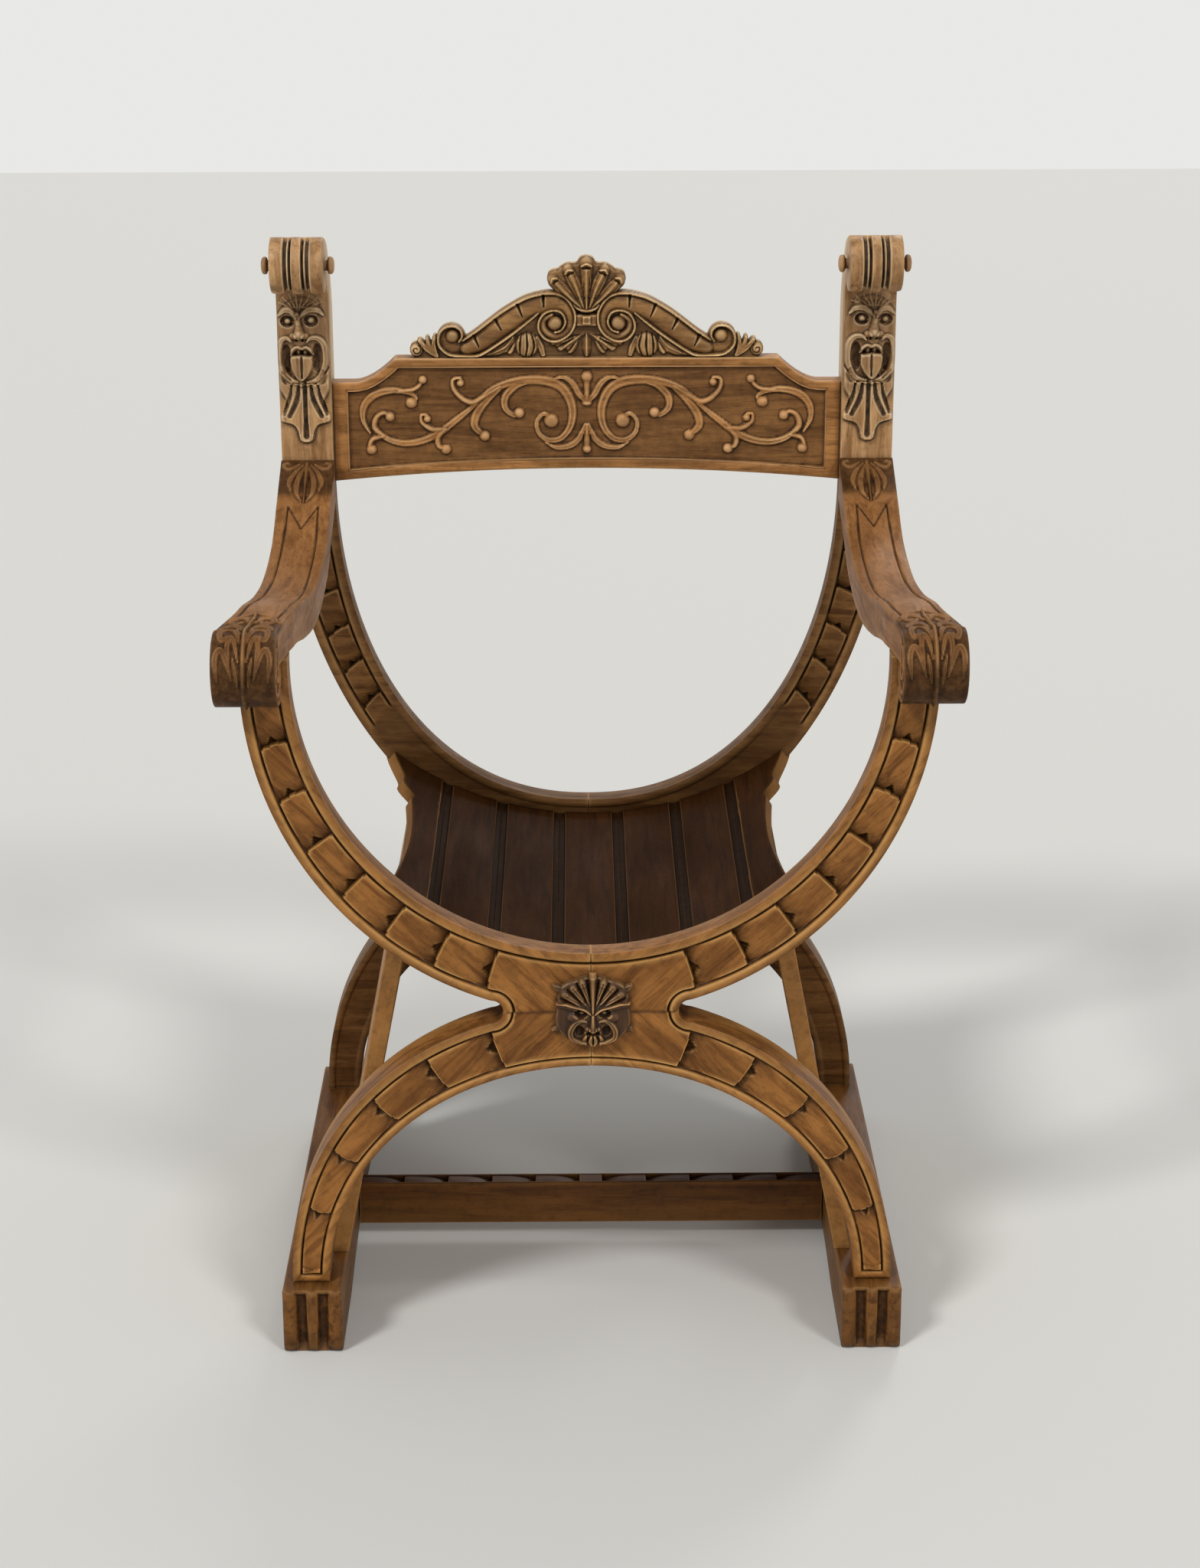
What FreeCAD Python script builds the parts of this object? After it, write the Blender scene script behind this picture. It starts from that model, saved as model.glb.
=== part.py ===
import FreeCAD, Part
import math
import os

# Rigid X-frame armchair in carved walnut, after Renaissance chairs.
# Millimetres, X to the sitter's left as seen from the front, Y towards the back, Z up.
# Shapes are drawn with Y counted from the front face of the front frame, and moved
# to the middle of the chair's footprint when they are written.

# Frames
frame_pitch = 455.0
frame_thick = 45.0
seam_z = 360.0
wood_over_seam = 64.0
wood_under_seam = 57.0
inner_r = 281.0
arc_width = 55.0
outer_sink = 3.0
arc_top_drop = 7.0
leg_tuck = 37.0
leg_ankle = 37.0
notch_x = 97.0
leg_out_power = 2.1
leg_in_power = 2.2

# Rear uprights
post_foot_rise = 92.0
post_inset = 11.0
post_width = 55.0
rear_rim_drop = 6.0
rear_sink = 10.0
rear_in_power = 2.2
rear_out_power = 2.0

# Carved channel of overlapping scales
rim_width = 11.0
scale_deep = 4.6
scale_shallow = 0.7
arc_scales = 7
leg_scales = 5
rear_scales = 6
arc_channel_degrees = (17.5, 86.0)
rear_channel_share = (0.36, 0.97)
leg_channel_share = (0.17, 0.955)

# Feet, which are runners from front to back
foot_width = 62.0
foot_height = 68.0
foot_margin = 11.0
foot_overhang = 22.0
foot_pad = 120.0
foot_lift = 12.0
flute_width = 9.0
flute_depth = 6.0

# Posts and the rolls on them
post_roll_r = 29.0
post_roll_rise = 225.0
post_roll_forward = 35.0
post_neck_drop = 43.0
post_back_drop = 63.0
roll_groove_width = 9.5
roll_groove_depth = 6.0
button_r = 9.0
button_out = 11.0
spigot_r = 4.0
spigot_length = 14.0

# Masks and lambrequins carved on the posts
mask_half_width = 25.0
mask_half_height = 47.0
mask_relief = 15.0
mask_drop = 84.0
nose_r = 8.0
beard_length = 60.0
beard_relief = 7.0

# Arms
arm_width = 57.0
arm_roll_width = 65.0
arm_roll_r = 33.0
arm_roll_y = -25.0
arm_roll_rise = 22.0
arm_thick = 35.0
arm_spread = 15.5
arm_rear_lap = 13.0
arm_rear_thick = 45.0

# Back rail and its pediment
rail_thick = 26.0
rail_set_back = 8.0
rail_hang = 12.0
rail_height = 131.5
rail_bow = 13.0
rail_shoulder_drop = 25.5
rail_shoulder_width = 24.0
rail_curve_width = 43.0
rail_border = 15.0
rail_recess = 4.0
rail_tenon = 18.0
rail_tenon_side = 30.0
pediment_thick = 14.0
pediment_relief = 6.0
pediment_margin = 15.0
pediment_height = 106.5
inner_volute_r = 20.0
outer_volute_r = 15.0
leaf_end_r = 11.0
shell_reach = 37.0
shell_lobe_r = 9.5
shell_lobes = 7
shell_foot = 16.0
tie_half = 12.0

# Seat staves
seat_sink = 21.5
seat_flatter = 69.0
stave_thick = 13.0
stave_gap = 0.3
stave_degrees = 10.5
stave_edge_degrees = 35.5
stave_waist_degrees = 31.8
stave_inset = 10.0
stave_count = 7

# Side boards and stretcher
board_thick = 17.0
board_lean_x = 48.0
board_lean_z = 324.0
board_set_back = 20.0
stretcher_depth = 21.0
stretcher_height = 48.0
stretcher_tenon = 20.0
stretcher_scales = 5
stretcher_motif = 26.0

# Rosette on the centre joint
rosette_r = 33.0
rosette_plate = 5.0
rosette_relief = 11.0
rosette_lobes = 11
rosette_lift = 3.5

# Joinery
dowel_r = 5.0
dowel_length = 44.0
small_dowel_r = 3.0
small_dowel_length = 28.0
fit_gap = 0.15
tenon_length = 26.0
tenon_width = 20.0
tenon_depth = 24.0
overrun = 3.0

# Worked out from the sizes above: the frames
seat_rim_z = seam_z + wood_over_seam
arch_top_z = seam_z - wood_under_seam
arc_centre_z = seat_rim_z + inner_r
arc_top_z = arc_centre_z - arc_top_drop
outer_r = inner_r + arc_width
outer_centre_z = seam_z - outer_sink + outer_r
leg_half_out = outer_r - leg_tuck
leg_half_in = leg_half_out - leg_ankle
foot_half_out = leg_half_out + foot_margin
board_foot_x = foot_half_out - foot_width
stretcher_z = foot_height - stretcher_height
rosette_z = seam_z + rosette_lift

# Worked out: the posts, the rail between them and the arms
post_foot_z = arc_top_z + post_foot_rise
post_inner = inner_r - post_inset
post_outer = post_inner + post_width
post_mid = post_inner + post_width / 2
post_roll_z = post_foot_z + post_roll_rise
post_neck_z = post_roll_z - post_neck_drop
post_back_z = post_roll_z - post_back_drop
mask_z = post_roll_z - mask_drop
beard_top_z = mask_z - mask_half_height
beard_tip_z = beard_top_z - beard_length
rear_rim_z = seat_rim_z - rear_rim_drop
rear_out_bottom_z = seam_z - rear_sink
rail_end_bottom_z = post_foot_z - rail_hang
rail_mid_bottom_z = rail_end_bottom_z + rail_bow
rail_top_z = rail_end_bottom_z + rail_height
rail_shoulder_z = rail_top_z - rail_shoulder_drop
rail_shoulder_x = post_inner - rail_shoulder_width
rail_flat_x = rail_shoulder_x - rail_curve_width
pediment_half = rail_flat_x - pediment_margin
arm_roll_z = arc_top_z + arm_roll_rise
arm_rear_top_z = post_foot_z + arm_rear_lap
arm_centre_rear = post_mid
arm_centre_front = arm_centre_rear + arm_spread

# Worked out: the seat and the footprint
stave_r = inner_r + seat_flatter
stave_centre_z = seat_rim_z - seat_sink + stave_r
rear_back_y = frame_pitch + frame_thick
front_most_y = arm_roll_y - arm_roll_r
rear_most_y = rear_back_y + foot_overhang
middle_y = (front_most_y + rear_most_y) / 2
foot_mid = foot_half_out - foot_width / 2
post_roll_y = frame_pitch - post_roll_forward


def point(x, y, z):
    return FreeCAD.Vector(x, y, z)


def line(start, end):
    return Part.LineSegment(start, end).toShape()


def arc(start, middle, end):
    return Part.Arc(start, middle, end).toShape()


def spline(points):
    curve = Part.BSplineCurve()
    curve.interpolate(points)
    return curve.toShape()


def face_of(edges):
    return Part.Face(Part.Wire(edges))


def polygon(points):
    return Part.Face(Part.makePolygon(points + [points[0]]))


def box(x0, x1, y0, y1, z0, z1):
    return Part.makeBox(x1 - x0, y1 - y0, z1 - z0, point(x0, y0, z0))


def rod(radius, length, start, direction):
    return Part.makeCylinder(radius, length, start, direction)


def mirrored(shape):
    return shape.mirror(point(0, 0, 0), point(1, 0, 0))


def oval(half_out, height, base_z, power, share):
    """Point on a quarter of a superellipse: share 0 is its crown, 1 its widest place."""
    angle = math.radians(90.0 * share)
    x = half_out * math.sin(angle) ** (2.0 / power)
    z = base_z + height * math.cos(angle) ** (2.0 / power)
    return x, z


# Outlines of the frames' members, each as a curve from the centre outwards

def arc_outer_height(x):
    return outer_centre_z - math.sqrt(outer_r ** 2 - x ** 2)


def rear_outer_height(x):
    drop = post_foot_z - rear_out_bottom_z
    return post_foot_z - drop * (1.0 - (x / post_outer) ** rear_out_power) ** (1.0 / rear_out_power)


def leg_crown(notch_r):
    """Height of the leg's outer oval that makes it meet the notch."""
    share = (1.0 - (notch_x / leg_half_out) ** leg_out_power) ** (1.0 / leg_out_power)
    return (seam_z - notch_r - foot_height) / share


front_notch_r = arc_outer_height(notch_x) - seam_z
rear_notch_r = rear_outer_height(notch_x) - seam_z


def leg_outer(share, notch_r):
    return oval(leg_half_out, leg_crown(notch_r), foot_height, leg_out_power, share)


def leg_inner(share):
    return oval(leg_half_in, arch_top_z - foot_height, foot_height, leg_in_power, share)


def front_arc_pair(angle_degrees):
    """Inner and outer points of the front arc at an angle from straight down."""
    angle = math.radians(angle_degrees)
    inner = (inner_r * math.sin(angle), arc_centre_z - inner_r * math.cos(angle))
    outer = (outer_r * math.sin(angle), outer_centre_z - outer_r * math.cos(angle))
    return inner, outer


def rear_arc_pair(share):
    """Inner and outer points of the rear arc, from the centre joint up to the post."""
    in_x, in_z = oval(post_inner, post_foot_z - rear_rim_z, 0, rear_in_power, share)
    out_x, out_z = oval(post_outer, post_foot_z - rear_out_bottom_z, 0, rear_out_power, share)
    return (in_x, post_foot_z - in_z), (out_x, post_foot_z - out_z)


def leg_pair(share):
    return leg_inner(share), leg_outer(share, front_notch_r)


def notch_quarter(notch_r, side):
    """Quarter round at the notch's blind end: side 1 above the seam, -1 below it."""
    slant = math.sqrt(0.5) * notch_r
    return arc(point(notch_x, 0, seam_z + side * notch_r),
               point(notch_x - slant, 0, seam_z + side * slant),
               point(notch_x - notch_r, 0, seam_z))


# The carved channel

def inset_pair(inner, outer, inset):
    """Moves both points towards each other along the member's width."""
    width = math.dist(inner, outer)
    share = inset / width
    first = [a + (b - a) * share for a, b in zip(inner, outer)]
    second = [b + (a - b) * share for a, b in zip(inner, outer)]
    return first, second


def scale_section(inner, outer, face_y, depth):
    """Cutter section across a member, from in front of its face down to a depth."""
    return Part.makePolygon([point(inner[0], face_y - overrun, inner[1]),
                             point(outer[0], face_y - overrun, outer[1]),
                             point(outer[0], face_y + depth, outer[1]),
                             point(inner[0], face_y + depth, inner[1]),
                             point(inner[0], face_y - overrun, inner[1])])


def channel_cutters(pair, span, count, face_y):
    """One sloping cutter per scale: deep towards the centre, shallow at the far end."""
    cutters = []
    step = (span[1] - span[0]) / count
    for index in range(count):
        sections = []
        for part_share in (0.0, 0.5, 1.0):
            place = span[0] + step * (index + part_share)
            inner, outer = inset_pair(*pair(place), rim_width)
            depth = scale_deep + (scale_shallow - scale_deep) * part_share
            sections.append(scale_section(inner, outer, face_y, depth))
        cutters.append(Part.makeLoft(sections, True, True))
    return cutters


# Joinery that the frames share

def seat_groove(y0, y1):
    """Curved housing for the ends of the seat staves."""
    outer = rod(stave_r + stave_thick + fit_gap, y1 - y0, point(0, y0, stave_centre_z), point(0, 1, 0))
    inner = rod(stave_r - fit_gap, y1 - y0, point(0, y0, stave_centre_z), point(0, 1, 0))
    edge = math.radians(stave_edge_degrees)
    reach = stave_r + stave_thick + overrun
    half = reach * math.tan(edge)
    wedge = polygon([point(0, y0, stave_centre_z),
                     point(half, y0, stave_centre_z - reach),
                     point(-half, y0, stave_centre_z - reach)])
    return outer.cut(inner).common(wedge.extrude(point(0, y1 - y0, 0)))


def frame_mid(face_y):
    return face_y + frame_thick / 2


def centre_dowels(extra):
    dowels = []
    for face_y in (0.0, frame_pitch):
        for z in ((seat_rim_z + seam_z) / 2, (arch_top_z + seam_z) / 2):
            dowels.append(rod(dowel_r + extra, dowel_length + 2 * extra,
                              point(-dowel_length / 2 - extra, frame_mid(face_y), z), point(1, 0, 0)))
    return dowels


def seam_dowels(extra):
    dowels = []
    low_z = seam_z - dowel_length / 2 - extra
    for face_y in (0.0, frame_pitch):
        for x in (-notch_x / 2, notch_x / 2):
            dowels.append(rod(dowel_r + extra, dowel_length + 2 * extra,
                              point(x, frame_mid(face_y), low_z), point(0, 0, 1)))
    return dowels


def arm_centre(y):
    share = (frame_pitch - y) / (frame_pitch - arm_roll_y)
    return arm_centre_rear + (arm_centre_front - arm_centre_rear) * share


def arm_dowels(extra):
    dowels = []
    length = dowel_length + 2 * extra
    front_z = arc_top_z - dowel_length / 2 - extra
    rear_z = post_foot_z - 2 * dowel_r
    rear_y = frame_pitch - 2 * dowel_length / 3
    for side in (-1, 1):
        front_x = side * arm_centre(frame_mid(0.0))
        dowels.append(rod(dowel_r + extra, length,
                          point(front_x, frame_mid(0.0), front_z), point(0, 0, 1)))
        dowels.append(rod(dowel_r + extra, length,
                          point(side * post_mid, rear_y - extra, rear_z), point(0, 1, 0)))
    return dowels


def post_dowels(extra):
    y = rear_back_y - frame_thick / 4
    return [rod(dowel_r + extra, dowel_length + 2 * extra,
                point(side * post_mid, y, post_foot_z - dowel_length / 2 - extra), point(0, 0, 1))
            for side in (-1, 1)]


def pediment_dowels(extra):
    y = frame_pitch + rail_set_back + rail_thick / 2
    low_z = rail_top_z - small_dowel_length / 2 - extra
    return [rod(small_dowel_r + extra, small_dowel_length + 2 * extra,
                point(side * pediment_half / 3, y, low_z), point(0, 0, 1))
            for side in (-1, 1)]


def bored(shape, dowels):
    for dowel in dowels:
        shape = shape.cut(dowel)
    return shape


# Frame members, drawn for the side where X is positive

def front_arc():
    top_in = math.sqrt(inner_r ** 2 - (arc_centre_z - arc_top_z) ** 2)
    top_out = math.sqrt(outer_r ** 2 - (outer_centre_z - arc_top_z) ** 2)
    half_in, _ = front_arc_pair(45.0)
    _, half_out = front_arc_pair(55.0)
    edges = [arc(point(0, 0, seat_rim_z), point(half_in[0], 0, half_in[1]), point(top_in, 0, arc_top_z)),
             line(point(top_in, 0, arc_top_z), point(top_out, 0, arc_top_z)),
             arc(point(top_out, 0, arc_top_z), point(half_out[0], 0, half_out[1]),
                 point(notch_x, 0, seam_z + front_notch_r)),
             notch_quarter(front_notch_r, 1),
             line(point(notch_x - front_notch_r, 0, seam_z), point(0, 0, seam_z)),
             line(point(0, 0, seam_z), point(0, 0, seat_rim_z))]
    solid = face_of(edges).extrude(point(0, frame_thick, 0))
    for cutter in channel_cutters(front_arc_pair, arc_channel_degrees, arc_scales, 0.0):
        solid = solid.cut(cutter)
    solid = solid.cut(seat_groove(frame_thick - stave_inset - fit_gap, frame_thick + overrun))
    return bored(solid, centre_dowels(fit_gap) + seam_dowels(fit_gap) + arm_dowels(fit_gap))


def rear_arc():
    shares = [0.12, 0.25, 0.4, 0.55, 0.7, 0.85]
    start_out = point(notch_x, frame_pitch, seam_z + rear_notch_r)
    inner = [point(0, frame_pitch, rear_rim_z)]
    outer = [point(post_outer, frame_pitch, post_foot_z)]
    for share in shares:
        in_point, _ = rear_arc_pair(share)
        inner.append(point(in_point[0], frame_pitch, in_point[1]))
    for share in reversed(shares):
        _, out_point = rear_arc_pair(share)
        if out_point[0] > notch_x + rim_width:
            outer.append(point(out_point[0], frame_pitch, out_point[1]))
    inner.append(point(post_inner, frame_pitch, post_foot_z))
    outer.append(start_out)
    quarter = notch_quarter(rear_notch_r, 1).translated(point(0, frame_pitch, 0))
    edges = [spline(inner),
             line(point(post_inner, frame_pitch, post_foot_z), point(post_outer, frame_pitch, post_foot_z)),
             spline(outer),
             quarter,
             line(point(notch_x - rear_notch_r, frame_pitch, seam_z), point(0, frame_pitch, seam_z)),
             line(point(0, frame_pitch, seam_z), point(0, frame_pitch, rear_rim_z))]
    solid = face_of(edges).extrude(point(0, frame_thick, 0))
    for cutter in channel_cutters(rear_arc_pair, rear_channel_share, rear_scales, frame_pitch):
        solid = solid.cut(cutter)
    solid = solid.cut(seat_groove(frame_pitch - overrun, frame_pitch + stave_inset + fit_gap))
    return bored(solid, centre_dowels(fit_gap) + seam_dowels(fit_gap)
                 + arm_dowels(fit_gap) + post_dowels(fit_gap))


def leg(face_y, notch_r, carved):
    shares = [0.15, 0.3, 0.45, 0.6, 0.75, 0.88]
    inner = [point(0, 0, arch_top_z)]
    outer = [point(notch_x, 0, seam_z - notch_r)]
    for share in shares:
        in_x, in_z = leg_inner(share)
        out_x, out_z = leg_outer(share, notch_r)
        inner.append(point(in_x, 0, in_z))
        if out_x > notch_x + rim_width:
            outer.append(point(out_x, 0, out_z))
    inner.append(point(leg_half_in, 0, foot_height))
    outer.append(point(leg_half_out, 0, foot_height))
    edges = [spline(inner),
             line(point(leg_half_in, 0, foot_height), point(leg_half_out, 0, foot_height)),
             spline(outer),
             notch_quarter(notch_r, -1),
             line(point(notch_x - notch_r, 0, seam_z), point(0, 0, seam_z)),
             line(point(0, 0, seam_z), point(0, 0, arch_top_z))]
    solid = face_of(edges).extrude(point(0, frame_thick, 0))
    if carved:
        for cutter in channel_cutters(leg_pair, leg_channel_share, leg_scales, 0.0):
            solid = solid.cut(cutter)
    solid.translate(point(0, face_y, 0))
    solid = solid.fuse(leg_tenon(face_y, 0.0)).removeSplitter()
    return bored(solid, centre_dowels(fit_gap) + seam_dowels(fit_gap))


def leg_tenon(face_y, extra):
    x = (leg_half_in + leg_half_out) / 2
    y = frame_mid(face_y)
    return box(x - tenon_width / 2 - extra, x + tenon_width / 2 + extra,
               y - tenon_depth / 2 - extra, y + tenon_depth / 2 + extra,
               foot_height - tenon_length - extra, foot_height)


# Feet

def foot():
    radius = foot_height / 2
    front = -foot_overhang
    rear = rear_most_y
    front_pad = front + foot_pad
    rear_pad = rear - foot_pad
    middle = (front + rear) / 2
    inner = foot_half_out - foot_width
    edges = [line(point(inner, front_pad, 0), point(inner, front + radius, 0)),
             arc(point(inner, front + radius, 0), point(inner, front, radius),
                 point(inner, front + radius, foot_height)),
             line(point(inner, front + radius, foot_height), point(inner, rear - radius, foot_height)),
             arc(point(inner, rear - radius, foot_height), point(inner, rear, radius),
                 point(inner, rear - radius, 0)),
             line(point(inner, rear - radius, 0), point(inner, rear_pad, 0)),
             arc(point(inner, rear_pad, 0), point(inner, middle, foot_lift), point(inner, front_pad, 0))]
    solid = face_of(edges).extrude(point(foot_width, 0, 0))
    for y, side in ((front + radius, -1), (rear - radius, 1)):
        for offset in (-1, 1):
            solid = solid.cut(foot_flute(foot_mid + offset * foot_width / 6, y, side))
    for face_y in (0.0, frame_pitch):
        solid = solid.cut(leg_tenon(face_y, fit_gap))
    return solid.cut(stretcher_tenons(fit_gap))


def foot_flute(x, y, side):
    """Deep groove over the round end of a foot, across its front or back half."""
    radius = foot_height / 2
    start = point(x - flute_width / 2, y, radius)
    ring = rod(radius + overrun, flute_width, start, point(1, 0, 0))
    ring = ring.cut(rod(radius - flute_depth, flute_width, start, point(1, 0, 0)))
    reach = radius + overrun
    y0, y1 = sorted((y, y + side * reach))
    return ring.common(box(x - flute_width, x + flute_width, y0, y1, -overrun, foot_height + overrun))


# Posts

def post():
    x = post_inner
    slant = math.sqrt(0.5) * post_roll_r
    front_foot = point(x, frame_pitch, post_foot_z)
    back_foot = point(x, rear_back_y, post_foot_z)
    back_top = point(x, rear_back_y, post_back_z)
    neck_foot = point(x, frame_pitch, post_neck_z)
    neck_top = point(x, post_roll_y + slant, post_roll_z - slant)
    neck_mid = point(x, (2 * frame_pitch + neck_top.y) / 3, (post_neck_z + neck_top.z) / 2)
    roll_mid = point(x, post_roll_y, post_roll_z)
    roll_top = point(x, post_roll_y, post_roll_z + post_roll_r)
    back_mid = point(x, rear_back_y - frame_thick / 3, (post_back_z + roll_top.z) / 2)
    edges = [line(front_foot, neck_foot),
             arc(neck_foot, neck_mid, neck_top),
             line(neck_top, roll_mid),
             line(roll_mid, roll_top),
             arc(roll_top, back_mid, back_top),
             line(back_top, back_foot),
             line(back_foot, front_foot)]
    solid = face_of(edges).extrude(point(post_width, 0, 0))
    solid = solid.fuse(rod(post_roll_r, post_width, roll_mid, point(1, 0, 0)))
    for offset in (-1, 1):
        solid = solid.cut(roll_groove(post_mid + offset * post_width / 7))
    solid = solid.fuse([post_mask(), post_nose(), post_beard()]).removeSplitter()
    cuts = arm_dowels(fit_gap) + post_dowels(fit_gap) + rail_tenons(fit_gap) + button_spigots(fit_gap)
    return bored(solid, cuts)


def roll_groove(x):
    start = point(x - roll_groove_width / 2, post_roll_y, post_roll_z)
    ring = rod(post_roll_r + overrun, roll_groove_width, start, point(1, 0, 0))
    ring = ring.cut(rod(post_roll_r - roll_groove_depth, roll_groove_width, start, point(1, 0, 0)))
    reach = post_roll_r + overrun
    return ring.common(box(x - roll_groove_width, x + roll_groove_width, post_roll_y - reach, post_roll_y,
                           post_roll_z - reach, post_roll_z + reach))


def rounded_relief(half_width, half_height, relief, centre):
    """Low egg-shaped swelling that stands out of a front face."""
    egg = Part.makeSphere(1)
    matrix = FreeCAD.Matrix()
    matrix.scale(half_width, relief, half_height)
    egg = egg.transformGeometry(matrix)
    egg.translate(centre)
    return egg


def post_mask():
    return rounded_relief(mask_half_width, mask_half_height, mask_relief,
                          point(post_mid, frame_pitch, mask_z)).common(post_front_space())


def post_front_space():
    """Space from the middle of the post forwards, within its width."""
    return box(post_inner, post_outer, frame_pitch - post_roll_forward, frame_pitch + frame_thick / 3,
               post_foot_z, post_roll_z - post_roll_r)


def post_nose():
    return rod(nose_r, mask_relief + nose_r / 2, point(post_mid, frame_pitch, mask_z + nose_r),
               point(0, -1, 0))


def post_beard():
    """Fluted lambrequin under the mask, widest near its foot."""
    half = post_width / 2
    tip = point(post_mid, frame_pitch, beard_tip_z)
    low_z = beard_tip_z + half / 2
    face = polygon([point(post_mid - half / 2, frame_pitch, beard_top_z),
                    point(post_mid - half, frame_pitch, low_z + half / 3),
                    point(post_mid - half / 2, frame_pitch, low_z),
                    tip,
                    point(post_mid + half / 2, frame_pitch, low_z),
                    point(post_mid + half, frame_pitch, low_z + half / 3),
                    point(post_mid + half / 2, frame_pitch, beard_top_z)])
    return face.extrude(point(0, -beard_relief, 0))


def button_spigots(extra):
    rods = []
    for x in (post_inner, post_outer):
        direction = 1 if x == post_inner else -1
        rods.append(rod(spigot_r + extra, spigot_length + extra, point(x, post_roll_y, post_roll_z),
                        point(direction, 0, 0)))
    return rods


def volute_buttons():
    """Turned button with its spigot, at each end of a roll."""
    buttons = []
    for x, out in ((post_inner, -1), (post_outer, 1)):
        profile = polygon([point(x - out * spigot_length, post_roll_y, post_roll_z),
                           point(x - out * spigot_length, post_roll_y, post_roll_z + spigot_r),
                           point(x, post_roll_y, post_roll_z + spigot_r),
                           point(x, post_roll_y, post_roll_z + button_r),
                           point(x + out * button_out / 2, post_roll_y, post_roll_z + button_r),
                           point(x + out * button_out, post_roll_y, post_roll_z + button_r / 2),
                           point(x + out * button_out, post_roll_y, post_roll_z)])
        buttons.append(profile.revolve(point(x, post_roll_y, post_roll_z), point(1, 0, 0), 360))
    return buttons


# Arms

def arm():
    """Side profile crossed with the plan, so that the arm both dips and spreads."""
    dip_top_share = ((0.13, 0.70), (0.26, 0.42), (0.44, 0.30), (0.62, 0.37), (0.80, 0.55))
    run = frame_pitch - arm_roll_y
    rise = arm_rear_top_z - arc_top_z
    roll_top_z = arm_roll_z + arm_roll_r
    top = [point(0, frame_pitch, arm_rear_top_z)]
    under = [point(0, frame_pitch, arm_rear_top_z - arm_rear_thick)]
    for along, height in dip_top_share:
        y = frame_pitch - run * along
        z = arc_top_z - arm_thick / 2 + rise * height
        top.append(point(0, y, z + arm_thick / 2))
        under.append(point(0, y, max(z - arm_thick / 2, arc_top_z - arm_thick / 2)))
    top.append(point(0, arm_roll_y, roll_top_z))
    under.append(point(0, frame_thick, arc_top_z))
    under_front = point(0, arm_roll_y, arm_roll_z)
    seat_front = point(0, 0, arc_top_z)
    edges = [spline(top),
             line(point(0, arm_roll_y, roll_top_z), under_front),
             line(under_front, seat_front),
             line(seat_front, point(0, frame_thick, arc_top_z)),
             spline(list(reversed(under))),
             line(under[0], top[0])]
    reach = arm_centre_front + arm_roll_width
    side = face_of(edges).extrude(point(reach, 0, 0))
    roll = rod(arm_roll_r, reach, point(0, arm_roll_y, arm_roll_z), point(1, 0, 0))
    plan = arm_plan().extrude(point(0, 0, arm_rear_top_z))
    solid = side.fuse(roll).common(plan).removeSplitter()
    return bored(solid, arm_dowels(fit_gap))


def arm_plan():
    half = arm_width / 2
    roll_half = arm_roll_width / 2
    front_y = front_most_y - overrun
    neck_y = arm_roll_r * 3
    wide_y = -arm_roll_y
    front_x = arm_centre(arm_roll_y)
    edges = [line(point(post_mid - half, frame_pitch, 0), point(arm_centre(neck_y) - half, neck_y, 0)),
             arc(point(arm_centre(neck_y) - half, neck_y, 0),
                 point(front_x - (half + roll_half * 2) / 3, (neck_y + wide_y) / 2, 0),
                 point(front_x - roll_half, wide_y, 0)),
             line(point(front_x - roll_half, wide_y, 0), point(front_x - roll_half, front_y, 0)),
             line(point(front_x - roll_half, front_y, 0), point(front_x + roll_half, front_y, 0)),
             line(point(front_x + roll_half, front_y, 0), point(front_x + roll_half, wide_y, 0)),
             arc(point(front_x + roll_half, wide_y, 0),
                 point(front_x + (half + roll_half * 2) / 3, (neck_y + wide_y) / 2, 0),
                 point(arm_centre(neck_y) + half, neck_y, 0)),
             line(point(arm_centre(neck_y) + half, neck_y, 0), point(post_mid + half, frame_pitch, 0)),
             line(point(post_mid + half, frame_pitch, 0), point(post_mid - half, frame_pitch, 0))]
    return face_of(edges)


# Back rail

def rail_outline(inset, y):
    """Rail seen from the front, drawn inset for the sunk field."""
    end_x = post_inner - inset
    shoulder_x = rail_shoulder_x - inset / 3
    flat_x = rail_flat_x - inset / 3
    top = rail_top_z - inset
    shoulder = rail_shoulder_z - inset
    bow = rail_mid_bottom_z + inset
    low = rail_end_bottom_z + inset
    drop = (shoulder_x - flat_x) / 4
    edges = [arc(point(-end_x, y, low), point(0, y, bow), point(end_x, y, low)),
             line(point(end_x, y, low), point(end_x, y, shoulder)),
             line(point(end_x, y, shoulder), point(shoulder_x, y, shoulder)),
             arc(point(shoulder_x, y, shoulder), point((shoulder_x + flat_x) / 2 - drop / 2, y,
                                                       (shoulder + top) / 2 - drop / 2),
                 point(flat_x, y, top)),
             line(point(flat_x, y, top), point(-flat_x, y, top)),
             arc(point(-flat_x, y, top), point(-(shoulder_x + flat_x) / 2 + drop / 2, y,
                                               (shoulder + top) / 2 - drop / 2),
                 point(-shoulder_x, y, shoulder)),
             line(point(-shoulder_x, y, shoulder), point(-end_x, y, shoulder)),
             line(point(-end_x, y, shoulder), point(-end_x, y, low))]
    return face_of(edges)


def rail_tenons(extra):
    y = frame_pitch + rail_set_back + rail_thick / 2
    half_y = rail_thick / 4
    z = (rail_shoulder_z + rail_end_bottom_z) / 2
    tenons = []
    for side in (-1, 1):
        x0, x1 = sorted((side * post_inner, side * (post_inner + rail_tenon + extra)))
        tenons.append(box(x0, x1, y - half_y - extra, y + half_y + extra,
                          z - rail_tenon_side - extra, z + rail_tenon_side + extra))
    return tenons


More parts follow.
